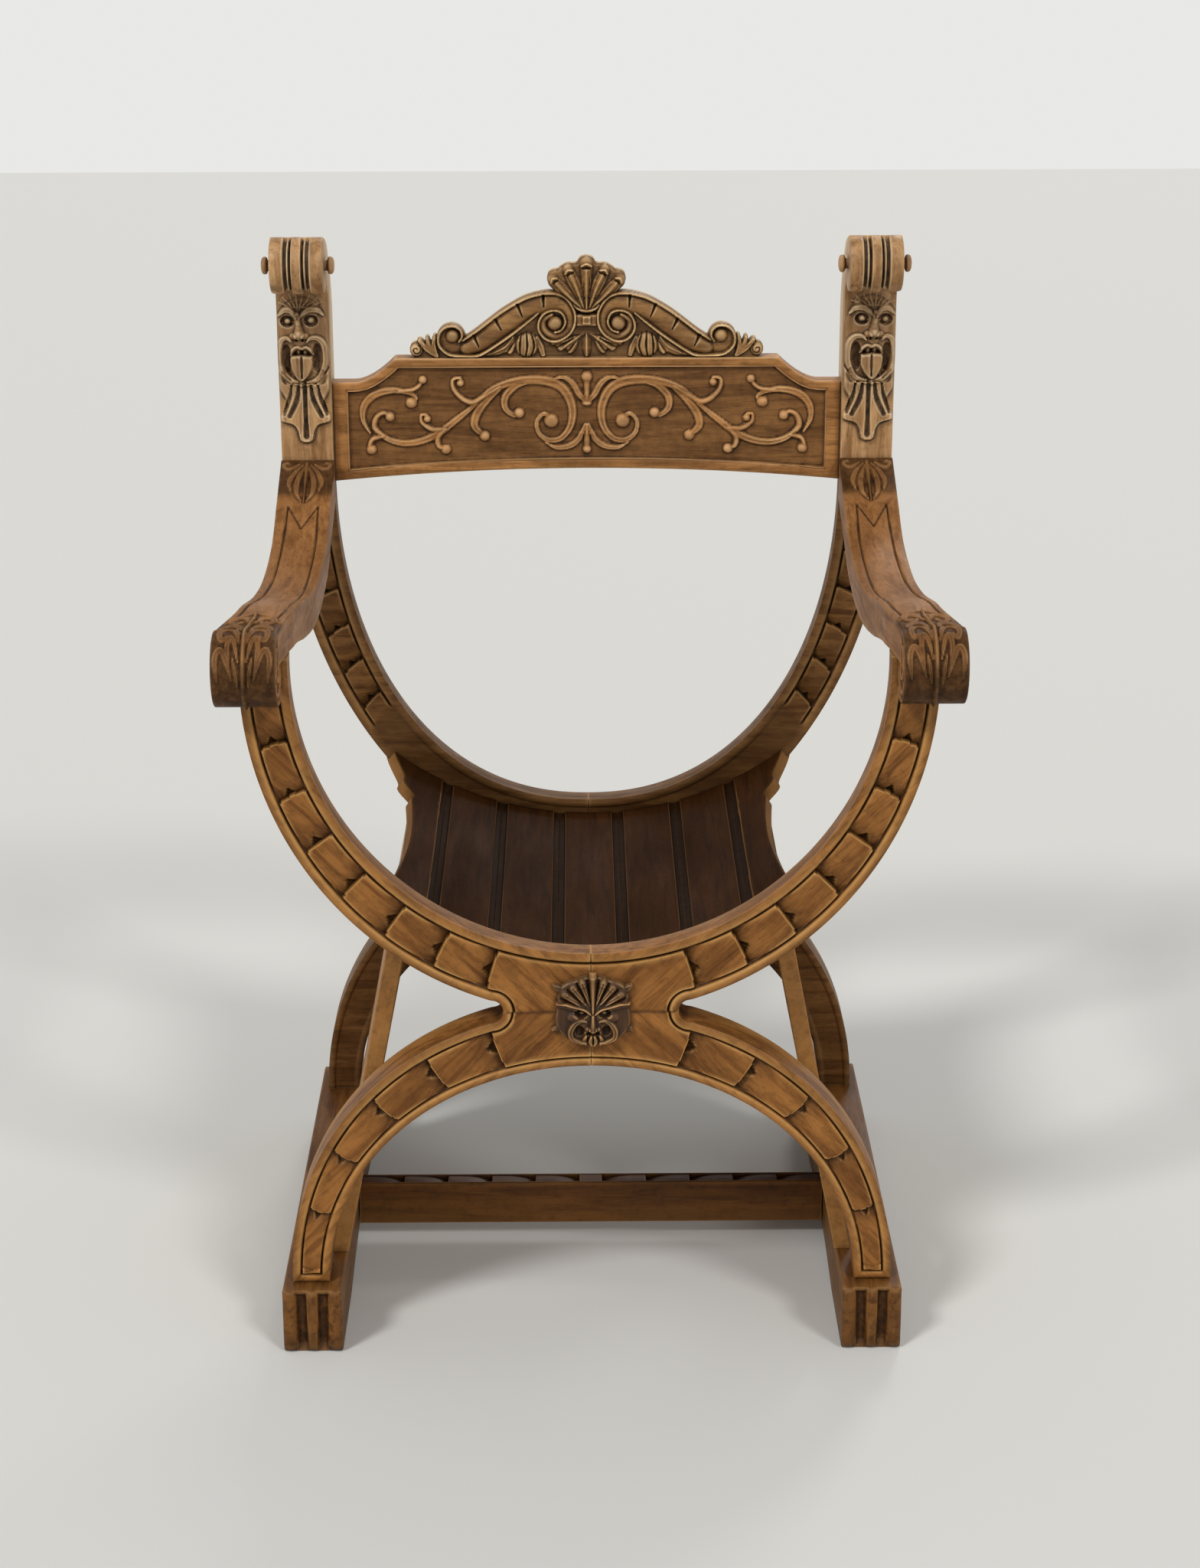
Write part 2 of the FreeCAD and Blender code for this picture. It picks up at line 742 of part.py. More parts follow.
def crest_rail():
    front = frame_pitch + rail_set_back
    solid = rail_outline(0.0, front).extrude(point(0, rail_thick, 0))
    field = rail_outline(rail_border, front - overrun).extrude(point(0, rail_recess + overrun, 0))
    solid = solid.cut(field).fuse(rail_tenons(0.0)).removeSplitter()
    return bored(solid, pediment_dowels(fit_gap))


# Pediment

def on_pediment(places, y):
    return [point(x * pediment_half, y, rail_top_z + z * pediment_height) for x, z in places]


# Places on the pediment, as shares of its half width and its height
band_top_share = ((0.12, 0.54), (0.19, 0.62), (0.255, 0.634), (0.35, 0.574), (0.447, 0.50), (0.622, 0.263),
                  (0.72, 0.14))
band_foot_share = ((0.72, 0.0), (0.61, 0.083), (0.42, 0.275), (0.242, 0.49))
inner_volute_share = ((0.176, 0.335),)
outer_volute_share = ((0.762, 0.165),)
leaf_end_share = ((0.90, 0.07),)
back_share = ((0.0, 0.45), (0.12, 0.63), (0.20, 0.68), (0.35, 0.54), (0.62, 0.22), (0.84, 0.16), (0.96, 0.12),
              (1.0, 0.0))


def pediment_scroll(y, thickness):
    """S-scroll of one side: its band, two volutes and the leaf that ends it."""
    top = on_pediment(band_top_share, y)
    foot_line = on_pediment(band_foot_share, y)
    edges = [spline(top), line(top[-1], foot_line[0]), spline(foot_line), line(foot_line[-1], top[0])]
    parts = []
    for places, radius in ((inner_volute_share, inner_volute_r), (outer_volute_share, outer_volute_r),
                           (leaf_end_share, leaf_end_r)):
        for centre in on_pediment(places, y):
            parts.append(rod(radius, thickness, centre, point(0, 1, 0)))
    return face_of(edges).extrude(point(0, thickness, 0)).fuse(parts)


def crest_pediment():
    y = frame_pitch + rail_set_back + (rail_thick - pediment_thick) / 2
    right = on_pediment(back_share, y)
    left = [point(-p.x, y, p.z) for p in reversed(right[1:])]
    back = polygon(left + right).extrude(point(0, pediment_thick, 0))
    front = y - pediment_relief
    scroll = pediment_scroll(front, pediment_relief + pediment_thick)
    solid = back.fuse([scroll, mirrored(scroll), pediment_shell(front)]).removeSplitter()
    base = box(-pediment_half, pediment_half, front, y + pediment_thick,
               rail_top_z, rail_top_z + pediment_height)
    return bored(solid.common(base).removeSplitter(), pediment_dowels(fit_gap))


def pediment_shell(front):
    """Scallop shell with round lobes, fanned about a point on the tie band."""
    depth = pediment_relief + pediment_thick
    centre_z = rail_top_z + pediment_height - shell_reach - shell_lobe_r
    spread = math.pi / (shell_lobes + 1)
    lobes = []
    for index in range(shell_lobes):
        angle = spread * (index + 1)
        lobes.append(point(shell_reach * math.cos(angle), front, centre_z + shell_reach * math.sin(angle)))
    foot_z = centre_z - shell_foot
    corners = [point(tie_half, front, foot_z)] + lobes + [point(-tie_half, front, foot_z)]
    fan = polygon(corners).extrude(point(0, depth, 0))
    parts = [rod(shell_lobe_r, depth, place, point(0, 1, 0)) for place in lobes]
    tie = box(-tie_half, tie_half, front, front + depth, rail_top_z, foot_z)
    return fan.fuse(parts + [tie])


# Seat

def stave(index):
    """Curved board from the front frame to the rear frame, let into both."""
    last = stave_count - 1
    first_edge = (index - stave_count / 2) * stave_degrees
    low = -stave_edge_degrees if index == 0 else first_edge
    high = stave_edge_degrees if index == last else first_edge + stave_degrees
    y0 = frame_thick - stave_inset
    y1 = frame_pitch + stave_inset
    ring = rod(stave_r + stave_thick, y1 - y0, point(0, y0, stave_centre_z), point(0, 1, 0))
    ring = ring.cut(rod(stave_r, y1 - y0, point(0, y0, stave_centre_z), point(0, 1, 0)))
    reach = stave_r * 2
    trim = math.degrees(stave_gap / 2 / stave_r)
    corners = []
    for edge in (low + trim, high - trim):
        angle = math.radians(edge)
        corners.append(point(reach * math.sin(angle), y0, stave_centre_z - reach * math.cos(angle)))
    wedge = polygon([point(0, y0, stave_centre_z)] + corners).extrude(point(0, y1 - y0, 0))
    solid = ring.common(wedge)
    if index in (0, last):
        solid = solid.cut(waist_cutter(1 if index == last else -1))
    return solid


def waist_cutter(side):
    """Big upright cylinder that hollows the seat's side edge between the frames."""
    middle_r = stave_r + stave_thick / 2
    end_x = middle_r * math.sin(math.radians(stave_edge_degrees))
    waist_x = middle_r * math.sin(math.radians(stave_waist_degrees))
    half_run = (frame_pitch - frame_thick) / 2
    sag = end_x - waist_x
    radius = (half_run ** 2 + sag ** 2) / (2 * sag)
    y = frame_thick + half_run
    return rod(radius, stave_centre_z, point(side * (waist_x + radius), y, 0), point(0, 0, 1))


# Side boards and stretcher

def side_board():
    top_z = stave_centre_z
    slope = board_lean_x / board_lean_z
    top_x = board_foot_x - slope * (top_z - foot_height)
    y0 = frame_thick + board_set_back
    y1 = frame_pitch - board_set_back
    face = polygon([point(board_foot_x, y0, foot_height),
                    point(board_foot_x + board_thick, y0, foot_height),
                    point(top_x + board_thick, y0, top_z),
                    point(top_x, y0, top_z)])
    solid = face.extrude(point(0, y1 - y0, 0))
    seat = rod(stave_r + stave_thick, frame_pitch, point(0, 0, stave_centre_z), point(0, 1, 0))
    above = box(0, leg_half_out, 0, rear_back_y, stave_centre_z - stave_r / 2, stave_centre_z + overrun)
    return solid.cut(seat).cut(above)


def stretcher_y():
    return (frame_pitch + frame_thick - stretcher_depth) / 2 - frame_thick / 2


def stretcher_tenons(extra):
    y = stretcher_y()
    inner = foot_half_out - foot_width
    margin = stretcher_depth / 5
    x0, x1 = inner, inner + stretcher_tenon + extra
    return box(x0, x1, y + margin - extra, y + stretcher_depth - margin + extra,
               stretcher_z + margin - extra, stretcher_z + stretcher_height - margin + extra)


def stretcher():
    """Bar between the runners, its top cut with the same sloping scales as the frames."""
    y = stretcher_y()
    half = foot_half_out - foot_width
    top = stretcher_z + stretcher_height
    solid = box(-half, half, y, y + stretcher_depth, stretcher_z, top)
    step = (half - stretcher_motif / 2) / stretcher_scales
    border = stretcher_depth / 8
    for side in (-1, 1):
        for index in range(stretcher_scales):
            near = side * (stretcher_motif / 2 + step * index)
            far = side * (stretcher_motif / 2 + step * (index + 1))
            face = polygon([point(near, y + border, top + overrun),
                            point(near, y + border, top - scale_deep),
                            point(far, y + border, top - scale_shallow),
                            point(far, y + border, top + overrun)])
            solid = solid.cut(face.extrude(point(0, stretcher_depth - 2 * border, 0)))
    tenon = stretcher_tenons(0.0)
    return solid.fuse([tenon, mirrored(tenon)]).removeSplitter()


# Rosette

def centre_mask():
    """Fan-edged rosette with a swelling face, glued over the centre joint."""
    lobe_r = rosette_r * math.sin(math.radians(180.0 / rosette_lobes))
    centre = point(0, -rosette_plate, rosette_z)
    parts = []
    for index in range(rosette_lobes):
        angle = math.radians(360.0 * index / rosette_lobes + 90.0)
        place = point(rosette_r * math.cos(angle), -rosette_plate, rosette_z + rosette_r * math.sin(angle))
        parts.append(rod(lobe_r / 2, rosette_plate, place, point(0, 1, 0)))
    plate = rod(rosette_r, rosette_plate, centre, point(0, 1, 0)).fuse(parts)
    face = rounded_relief(rosette_r * 2 / 3, rosette_r * 3 / 4, rosette_relief, centre)
    front = box(-rosette_r, rosette_r, -rosette_plate - rosette_relief - overrun, -rosette_plate / 2,
                rosette_z - rosette_r, rosette_z + rosette_r)
    return plate.fuse(face.common(front)).removeSplitter()


def both_sides(name, right):
    return {name + "_right": [right], name + "_left": [mirrored(right)]}


def build_nodes():
    nodes = {}
    nodes.update(both_sides("foot", foot()))
    nodes.update(both_sides("front_leg", leg(0.0, front_notch_r, True)))
    nodes.update(both_sides("rear_leg", leg(frame_pitch, rear_notch_r, False)))
    nodes.update(both_sides("front_arc", front_arc()))
    nodes.update(both_sides("rear_arc", rear_arc()))
    nodes.update(both_sides("post", post()))
    nodes.update(both_sides("arm", arm()))
    nodes.update(both_sides("side_board", side_board()))
    buttons = volute_buttons()
    nodes["volute_buttons"] = buttons + [mirrored(button) for button in buttons]
    nodes["crest_rail"] = [crest_rail()]
    nodes["crest_pediment"] = [crest_pediment()]
    for index in range(stave_count):
        nodes["seat_stave_%d" % (index + 1)] = [stave(index)]
    nodes["stretcher"] = [stretcher()]
    nodes["centre_mask"] = [centre_mask()]
    nodes["centre_dowels"] = centre_dowels(0.0)
    nodes["seam_dowels"] = seam_dowels(0.0)
    nodes["arm_dowels"] = arm_dowels(0.0)
    nodes["post_dowels"] = post_dowels(0.0)
    nodes["pediment_dowels"] = pediment_dowels(0.0)
    return nodes


def write_nodes(nodes):
    os.makedirs("parts", exist_ok=True)
    for name, solids in nodes.items():
        shape = Part.makeCompound(solids) if len(solids) > 1 else solids[0]
        if len(shape.Solids) == 1:
            shape = shape.Solids[0]
        shape.translate(point(0, -middle_y, 0))
        shape.exportStep("parts/%s.step" % name)
        size = shape.BoundBox
        print("%-18s %d solids, valid %s, %.1f x %.1f x %.1f" % (
            name, len(shape.Solids), shape.isValid(), size.XLength, size.YLength, size.ZLength))


write_nodes(build_nodes())
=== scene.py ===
"""Looks of a carved walnut X-frame armchair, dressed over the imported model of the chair."""

import logging
import math
from dataclasses import dataclass
from enum import Enum
from functools import partial
from typing import Any, Callable, Sequence

import bmesh
import bpy
import numpy as np
from mathutils import Matrix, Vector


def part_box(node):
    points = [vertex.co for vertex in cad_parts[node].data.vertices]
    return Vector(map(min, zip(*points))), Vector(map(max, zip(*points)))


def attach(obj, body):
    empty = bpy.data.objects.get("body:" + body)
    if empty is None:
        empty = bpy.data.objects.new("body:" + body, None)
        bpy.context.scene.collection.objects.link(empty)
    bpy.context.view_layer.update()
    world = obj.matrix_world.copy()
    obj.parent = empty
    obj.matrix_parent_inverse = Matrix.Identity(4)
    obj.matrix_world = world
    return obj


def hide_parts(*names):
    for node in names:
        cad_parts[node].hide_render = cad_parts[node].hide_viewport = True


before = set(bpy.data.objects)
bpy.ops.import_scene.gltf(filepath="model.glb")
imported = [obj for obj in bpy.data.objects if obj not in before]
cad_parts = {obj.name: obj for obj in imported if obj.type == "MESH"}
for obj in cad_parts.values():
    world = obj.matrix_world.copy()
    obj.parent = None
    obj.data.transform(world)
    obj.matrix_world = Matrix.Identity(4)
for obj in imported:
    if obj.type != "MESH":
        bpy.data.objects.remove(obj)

logging.basicConfig(level=logging.INFO, format="%(message)s")
log = logging.getLogger("chair")

MM = 0.001
FRONT_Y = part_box("front_arc_right")[0][1] / MM
SIDES = {"right": 1.0, "left": -1.0}
Array = np.ndarray
Line = Array | Sequence[tuple[float, float]]
Adder = Callable[..., Any]


def to_linear(hex_code: str) -> tuple[float, float, float, float]:
    """Turns an sRGB hex colour into Blender's linear colour.

    Args:
        hex_code: Six hex digits.

    Returns:
        Red, green, blue and an alpha of 1.
    """
    channels = [int(hex_code[i:i + 2], 16) / 255.0 for i in (0, 2, 4)]
    linear = [c / 12.92 if c <= 0.04045 else ((c + 0.055) / 1.055) ** 2.4 for c in channels]
    return (linear[0], linear[1], linear[2], 1.0)


def add_node(tree: bpy.types.NodeTree, kind: str, inputs: dict[Any, Any] | None = None,
             **settings: Any) -> bpy.types.Node:
    """Adds a node to a tree with its settings, values and links.

    Args:
        tree: The node tree.
        kind: The node's type name.
        inputs: Socket name or number to a value, or to the output socket that feeds it.
        settings: The node's own properties.

    Returns:
        The new node.
    """
    node = tree.nodes.new(kind)
    for name, value in settings.items():
        setattr(node, name, value)
    for key, value in (inputs or {}).items():
        if isinstance(value, bpy.types.NodeSocket):
            tree.links.new(value, node.inputs[key])
        else:
            node.inputs[key].default_value = value
    return node


def wire(add: Adder, known: dict[str, Any], rows: Sequence[tuple[Any, ...]]) -> None:
    """Adds a table of sums to a node tree.

    Args:
        add: add_node for the tree.
        known: Sockets by name; each row's result joins them.
        rows: Name of the result, operation or RANGE, and its values or names of sockets.
    """
    for name, operation, *values in rows:
        given = [known[value] if isinstance(value, str) else value for value in values]
        if operation == "RANGE":
            names = ("Value", "From Min", "From Max", "To Min", "To Max")
            known[name] = add("ShaderNodeMapRange", dict(zip(names, given))).outputs["Result"]
        else:
            known[name] = add("ShaderNodeMath", dict(enumerate(given)), operation=operation).outputs[0]


def smooth(low: float, high: float, value: Array) -> Array:
    """Smooth step from 0 below low to 1 above high."""
    t = np.clip((value - low) / (high - low), 0.0, 1.0)
    return t * t * (3.0 - 2.0 * t)


def dome(q: Array) -> Array:
    """Height of a half round at q, the distance from its middle over its half width."""
    return np.sqrt(np.clip(1.0 - q ** 2, 0.0, 1.0))


def worn_edge(gap: Array, radius: float) -> Array:
    """How far a rounded edge lies below the face at a distance from the side."""
    return radius * (1.0 - dome(1.0 - np.clip(gap / radius, 0, 1)))


# Finishes

class Grain(Enum):
    """Direction in which a piece's wood fibres run, as a turn of the pattern."""
    ACROSS = (0.0, 0.0, 0.0)
    UPRIGHT = (0.0, math.pi / 2, 0.0)
    DEEP = (0.0, 0.0, math.pi / 2)
    RISING_RIGHT = (0.0, -math.pi / 4, 0.0)
    RISING_LEFT = (0.0, math.pi / 4, 0.0)


@dataclass(frozen=True)
class WalnutFinish:
    """Old European walnut, carved by hand, stained and waxed.

    The stain has run into the hollows and the wax has been rubbed off the edges; the colour also
    paints highlights on edges and raised parts and paints shade in hollows and under ledges. So the
    eye sees golden edges, brown faces and nearly black recesses, with open pores along the grain.
    """
    name: str
    face: str = "9A6631"
    vein: str = "643C17"
    edge: str = "D29F5E"
    hollow: str = "1C0F06"
    grain: Grain = Grain.ACROSS
    pore_mm: float = 1.2
    figure_mm: float = 30.0
    mottle_mm: float = 9.0
    roughness: float = 0.5
    shine: float = 0.16
    wax: float = 0.03
    wear_and_highlight: float = 0.95
    grime_and_shade: float = 0.95
    film: float = 0.3

    def _patterns(self, add: Adder) -> dict[str, Any]:
        """Adds the wood's patterns, reads the marks of wear, painted light and stain that the mesh
        carries, and adds ambient occlusion for painted shade.

        Args:
            add: add_node for the material's tree.

        Returns:
            Sockets by name.
        """
        place = add("ShaderNodeTexCoord").outputs["Object"]
        # Stretched along the grain for growth rings, for pores and for patches of stain
        fibre, hair, broad = [
            add("ShaderNodeMapping", {"Vector": place, "Rotation": self.grain.value, "Scale": stretch},
                vector_type="TEXTURE").outputs["Vector"]
            for stretch in ((MM / 0.09, MM, MM), (MM / 0.06, MM, MM), (3.5, 1.0, 1.0))]
        known = {}
        # Rings are about eight pores wide; chisel flats are felt rather than seen
        for name, vector, scale, detail, roughness, distortion in (
                ("rings", fibre, 1.0 / (self.pore_mm * 8.0), 4.0, 0.6, 0.6),
                ("pores", hair, 1.0 / self.pore_mm, 3.0, 0.6, 0.0),
                ("patches", broad, 1.0 / (self.figure_mm * MM), 4.0, 0.55, 0.0),
                ("mottle", place, 1.0 / (self.mottle_mm * MM), 5.0, 0.65, 0.0),
                ("chisel", place, 1.0 / (7.0 * MM), 2.0, 0.5, 0.0)):
            known[name] = add("ShaderNodeTexNoise", {"Vector": vector, "Scale": scale, "Detail": detail,
                "Roughness": roughness, "Distortion": distortion}).outputs["Fac"]
        for name in ("worn", "sunk", "stain"):
            known[name] = add("ShaderNodeAttribute", attribute_name=name).outputs["Fac"]
        # Ambient occlusion over ten millimetres, mixed into the colour as painted shade
        known["shade"] = add("ShaderNodeAmbientOcclusion", {"Distance": 10.0 * MM}, samples=6).outputs["AO"]
        return known

    def material(self) -> bpy.types.Material:
        """Builds the walnut as a node material, or returns it if it is there already.

        Returns:
            The material.
        """
        if self.name in bpy.data.materials:
            return bpy.data.materials[self.name]
        material = bpy.data.materials.new(self.name)
        material.use_nodes = True
        material.node_tree.nodes.clear()
        add = partial(add_node, material.node_tree)
        known = self._patterns(add)
        # Edges are rubbed bright in patches, partly wear and partly painted highlight; hollows darken with
        # stain and painted shade, the space under ledges with painted shade from ambient occlusion, and a
        # thin film of dirt lies over all
        wire(add, known, (
            ("ring", "RANGE", "rings", 0.42, 0.66, 0.0, 1.0),
            ("patch", "RANGE", "patches", 0.40, 0.68, 0.0, 0.7),
            ("pore", "RANGE", "pores", 0.55, 0.72, 0.0, 0.5),
            ("rub", "RANGE", "patches", 0.3, 0.6, self.wear_and_highlight * 0.45, self.wear_and_highlight),
            ("worn", "MULTIPLY", "worn", "rub"),
            ("shade", "RANGE", "shade", 0.35, 0.85, 0.85, 0.0),
            ("dirt", "MAXIMUM", "sunk", "shade"),
            ("dirt", "MAXIMUM", "dirt", "stain"),
            ("smear", "RANGE", "mottle", 0.35, 0.62, self.grime_and_shade * 0.75, self.grime_and_shade),
            ("dirt", "MULTIPLY", "dirt", "smear"),
            ("film", "RANGE", "mottle", 0.5, 0.72, 0.0, self.film),
            ("dirt", "MAXIMUM", "dirt", "film"),
            ("gloss", "RANGE", "patches", 0.3, 0.7, self.roughness - 0.08, self.roughness + 0.1)))
        wood: Any = to_linear(self.face)
        for share, colour in (
                ("ring", self.vein), ("patch", self.vein), ("pore", self.hollow), ("worn", self.edge),
                ("dirt", self.hollow)):
            wood = add("ShaderNodeMix", {"Factor": known[share], "A": wood, "B": to_linear(colour)},
                       data_type="RGBA").outputs["Result"]
        bump = add("ShaderNodeBump", {"Height": known["chisel"], "Strength": 0.4,
            "Distance": 0.8 * MM}).outputs["Normal"]
        bump = add("ShaderNodeBump", {"Height": known["pores"], "Normal": bump, "Strength": 0.3,
            "Distance": -0.25 * MM}).outputs["Normal"]
        shader = add("ShaderNodeBsdfPrincipled", {"Base Color": wood, "Roughness": known["gloss"],
            "Normal": bump, "IOR": 1.5, "Specular IOR Level": self.shine, "Coat Weight": self.wax,
            "Coat Roughness": 0.25})
        add("ShaderNodeOutputMaterial", {"Surface": shader.outputs["BSDF"]})
        return material


# In every finish the edge colour paints wear together with a painted highlight, and the hollow colour
# paints pores, stain and painted shade
FRAME_RIGHT = WalnutFinish("walnut_sawn_carved_right", grain=Grain.RISING_RIGHT)
FRAME_LEFT = WalnutFinish("walnut_sawn_carved_left", grain=Grain.RISING_LEFT)
POST_WALNUT = WalnutFinish("walnut_carved_posts", face="C39868", vein="8C6339", edge="F4D8AC",
                           grain=Grain.UPRIGHT, wear_and_highlight=1.0, grime_and_shade=1.0, shine=0.3)
CREST_WALNUT = WalnutFinish("walnut_carved_crest", face="A27746", vein="6C4A27", edge="EAC48E",
                            wear_and_highlight=1.0, grime_and_shade=1.0, shine=0.25)
MASK_WALNUT = WalnutFinish("walnut_stained_mask", face="5C3A1B", vein="36200E", edge="CFA067",
                           grain=Grain.UPRIGHT, wear_and_highlight=1.0, grime_and_shade=1.0, shine=0.3)
RAIL_WALNUT = WalnutFinish("walnut_carved_rail", face="B57F49", vein="7C5229", edge="E0B27E")
ARM_WALNUT = WalnutFinish("walnut_polished_arms", face="9E6D3F", vein="754B26", edge="CDA06C",
                          grain=Grain.DEEP, shine=0.1, wax=0.0, wear_and_highlight=0.6)
SEAT_WALNUT = WalnutFinish("walnut_dark_seat", face="3A200B", vein="281505", edge="8A6238",
                           hollow="120A05", grain=Grain.DEEP, figure_mm=60.0, roughness=0.66, shine=0.03,
                           wax=0.0, wear_and_highlight=1.0, film=0.1)
# The next three finishes are darker partly as painted shade: the feet, side boards, rear frame and
# stretcher stand in shadow, so their walnut is a shaded copy
BASE_WALNUT = WalnutFinish("walnut_feet_and_boards", face="8E5D2A", vein="5C3716", edge="BC8A50",
                           grain=Grain.DEEP, wear_and_highlight=0.7)
REAR_WALNUT = WalnutFinish("walnut_sawn_rear", face="74502B", vein="4D3016", edge="A57D4E",
                           shine=0.1, wear_and_highlight=0.9)
BAR_WALNUT = WalnutFinish("walnut_stretcher", face="6E441A", vein="48290D", edge="A57640", wear_and_highlight=0.8)
BEECH = WalnutFinish("beech_dowels", face="B08A5C", vein="9A744A", edge="C9A679", hollow="5A4026",
                     pore_mm=0.6)


# Meshes

def mark_wear_and_shading(mesh: bpy.types.Mesh) -> None:
    """Writes how far each vertex stands proud of, or lies below, its neighbours.

    Args:
        mesh: A merged mesh. It gets two attributes, each from 0 to 1: one for edges and raised
            parts, which the finishes paint lighter as wear and as painted highlight, and sunk, for
            hollows, which they paint darker as stain and as painted shade.
    """
    count = len(mesh.vertices)
    place = np.zeros(count * 3, np.float32)
    mesh.vertices.foreach_get("co", place)
    normal = np.zeros(count * 3, np.float32)
    mesh.vertex_normals.foreach_get("vector", normal)
    ends = np.zeros(len(mesh.edges) * 2, np.int32)
    mesh.edges.foreach_get("vertices", ends)
    place, normal, ends = place.reshape(-1, 3), normal.reshape(-1, 3), ends.reshape(-1, 2)
    step = place[ends[:, 1]] - place[ends[:, 0]]
    length = np.maximum(np.linalg.norm(step, axis=1), 1e-7)
    bend = np.zeros(count)
    for near, sign in ((0, -1.0), (1, 1.0)):
        here = ends[:, near]
        bend += np.bincount(here, sign * np.einsum("ij,ij->i", normal[here], step) / length, count)
    near, far = np.concatenate([ends, ends[:, ::-1]]).T
    share = np.maximum(np.bincount(near, minlength=count), 1.0)
    bend /= share
    for _ in range(2):
        bend = 0.5 * bend + 0.5 * np.bincount(near, bend[far], count) / share
    # How far a point stands above a surface smoothed over two or three millimetres
    pull = np.exp(-(np.tile(length, 2) / (2.5 * MM)) ** 2) + 1e-9
    total = np.bincount(near, pull, count) + 1e-6
    soft = place.astype(float)
    for _ in range(14):
        mean = [np.bincount(near, pull * soft[far, k], count) / total for k in range(3)]
        soft = 0.4 * soft + 0.6 * np.stack(mean, axis=1)
    rise = np.einsum("ij,ij->i", place - soft, normal) / MM * np.minimum(total, 1.0)
    # Edges and raised parts are marked for lightening, as wear and as painted highlight; hollows for
    # darkening, as stain and as painted shade
    worn = np.maximum(smooth(0.05, 0.26, bend), 0.85 * smooth(0.2, 1.2, rise))
    sunk = np.maximum(smooth(0.03, 0.25, -bend), smooth(0.06, 0.7, -rise))
    for name, value in (("worn", worn), ("sunk", sunk)):
        layer = mesh.attributes.get(name) or mesh.attributes.new(name, "FLOAT", "POINT")
        layer.data.foreach_set("value", value.astype(np.float32))


@dataclass
class Shell:
    """Vertices and faces of a piece in millimetres, before they become an object.

    Y is counted back from the front face of the front frame, as the chair's sizes are.
    """
    points: Array
    faces: list[Sequence[int]]
    layers: dict[str, Array] | None = None

    def joined(self, other: "Shell") -> "Shell":
        """This shell and another as one; layers are kept where both have them.

        Args:
            other: The shell to add.

        Returns:
            A new shell.
        """
        shift = len(self.points)
        faces = list(self.faces) + [tuple(i + shift for i in face) for face in other.faces]
        layers = {name: np.concatenate([self.layers[name], other.layers[name]])
                  for name in self.layers or {} if name in (other.layers or {})}
        return Shell(np.concatenate([self.points, other.points]), faces, layers)

    def mirrored(self) -> "Shell":
        """The same shell on the other side of the chair."""
        return Shell(self.points * np.array([-1.0, 1.0, 1.0]), self.faces, self.layers)

    def piece(self, name: str, finish: WalnutFinish, slot: str, nodes: Sequence[str] = (),
              carve: Callable[[bpy.types.Object], None] | None = None,
              sharp_degrees: float = 40.0) -> bpy.types.Object:
        """Turns the shell into a finished piece that rides on the chair.

        Args:
            name: The piece's name.
            finish: Its finish.
            slot: Name of a material slot; not used.
            nodes: CAD nodes that it replaces.
            carve: Work on the merged object that ends in a plain mesh.
            sharp_degrees: Edges sharper than this stay sharp.

        Returns:
            The object.
        """
        mesh = bpy.data.meshes.new(name)
        place = (self.points + np.array([0.0, FRONT_Y, 0.0])) * MM
        mesh.from_pydata(place.tolist(), [], [tuple(face) for face in self.faces])
        for layer_name, values in (self.layers or {}).items():
            layer = mesh.attributes.new(layer_name, "FLOAT", "POINT")
            layer.data.foreach_set("value", np.asarray(values, np.float32))
        work = bmesh.new()
        work.from_mesh(mesh)
        bmesh.ops.remove_doubles(work, verts=work.verts, dist=0.004 * MM)
        bmesh.ops.dissolve_degenerate(work, dist=0.002 * MM, edges=work.edges)
        broad = [face for face in work.faces if len(face.verts) > 4]
        bmesh.ops.triangulate(work, faces=broad, ngon_method="EAR_CLIP")
        bmesh.ops.recalc_face_normals(work, faces=work.faces)
        work.to_mesh(mesh)
        work.free()
        thing = bpy.data.objects.new(name, mesh)
        bpy.context.scene.collection.objects.link(thing)
        if carve:
            carve(thing)
        thing.data.polygons.foreach_set("use_smooth", [True] * len(thing.data.polygons))
        thing.data.set_sharp_from_angle(angle=math.radians(sharp_degrees))
        mark_wear_and_shading(thing.data)
        thing.data.materials.clear()
        thing.data.materials.append(finish.material())
        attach(thing, "root")
        if nodes:
            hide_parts(*nodes)
        log.info("%-22s %6d faces", name, len(thing.data.polygons))
        return thing

    def pair(self, name: str, finish: WalnutFinish, slot: str, node: str,
             sharp_degrees: float = 40.0) -> None:
        """Makes the shell and its mirror image as the right and the left piece.

        Args:
            name: The pieces' name without the side.
            finish: Their finish.
            slot: Name of a material slot.
            node: Name without the side of the CAD nodes that they replace.
            sharp_degrees: Edges sharper than this stay sharp.
        """
        for side, sign in SIDES.items():
            (self if sign > 0 else self.mirrored()).piece(
                f"{name}_{side}", finish, slot, [f"{node}_{side}"], sharp_degrees=sharp_degrees)


def loft(rings: Array, closed_ends: bool = True) -> Shell:
    """Skins a row of closed rings.

    Args:
        rings: Points, as stations by ring points by three.
        closed_ends: Whether the first and last ring get a face.

    Returns:
        The shell.
    """
    stations, around, _ = rings.shape
    index = np.arange(stations * around).reshape(stations, around)
    ahead = np.roll(index, -1, axis=1)
    faces = np.stack([index[:-1], ahead[:-1], ahead[1:], index[1:]], axis=-1).reshape(-1, 4).tolist()
    if closed_ends:
        faces += [index[0].tolist()[::-1], index[-1].tolist()]
    return Shell(rings.reshape(-1, 3), faces)


def grid(x: Any, y: Any, z: Any) -> Array:
    """Points from three coordinates, each spread over the others' shape."""
    return np.stack(np.broadcast_arrays(x, y, z), axis=-1)


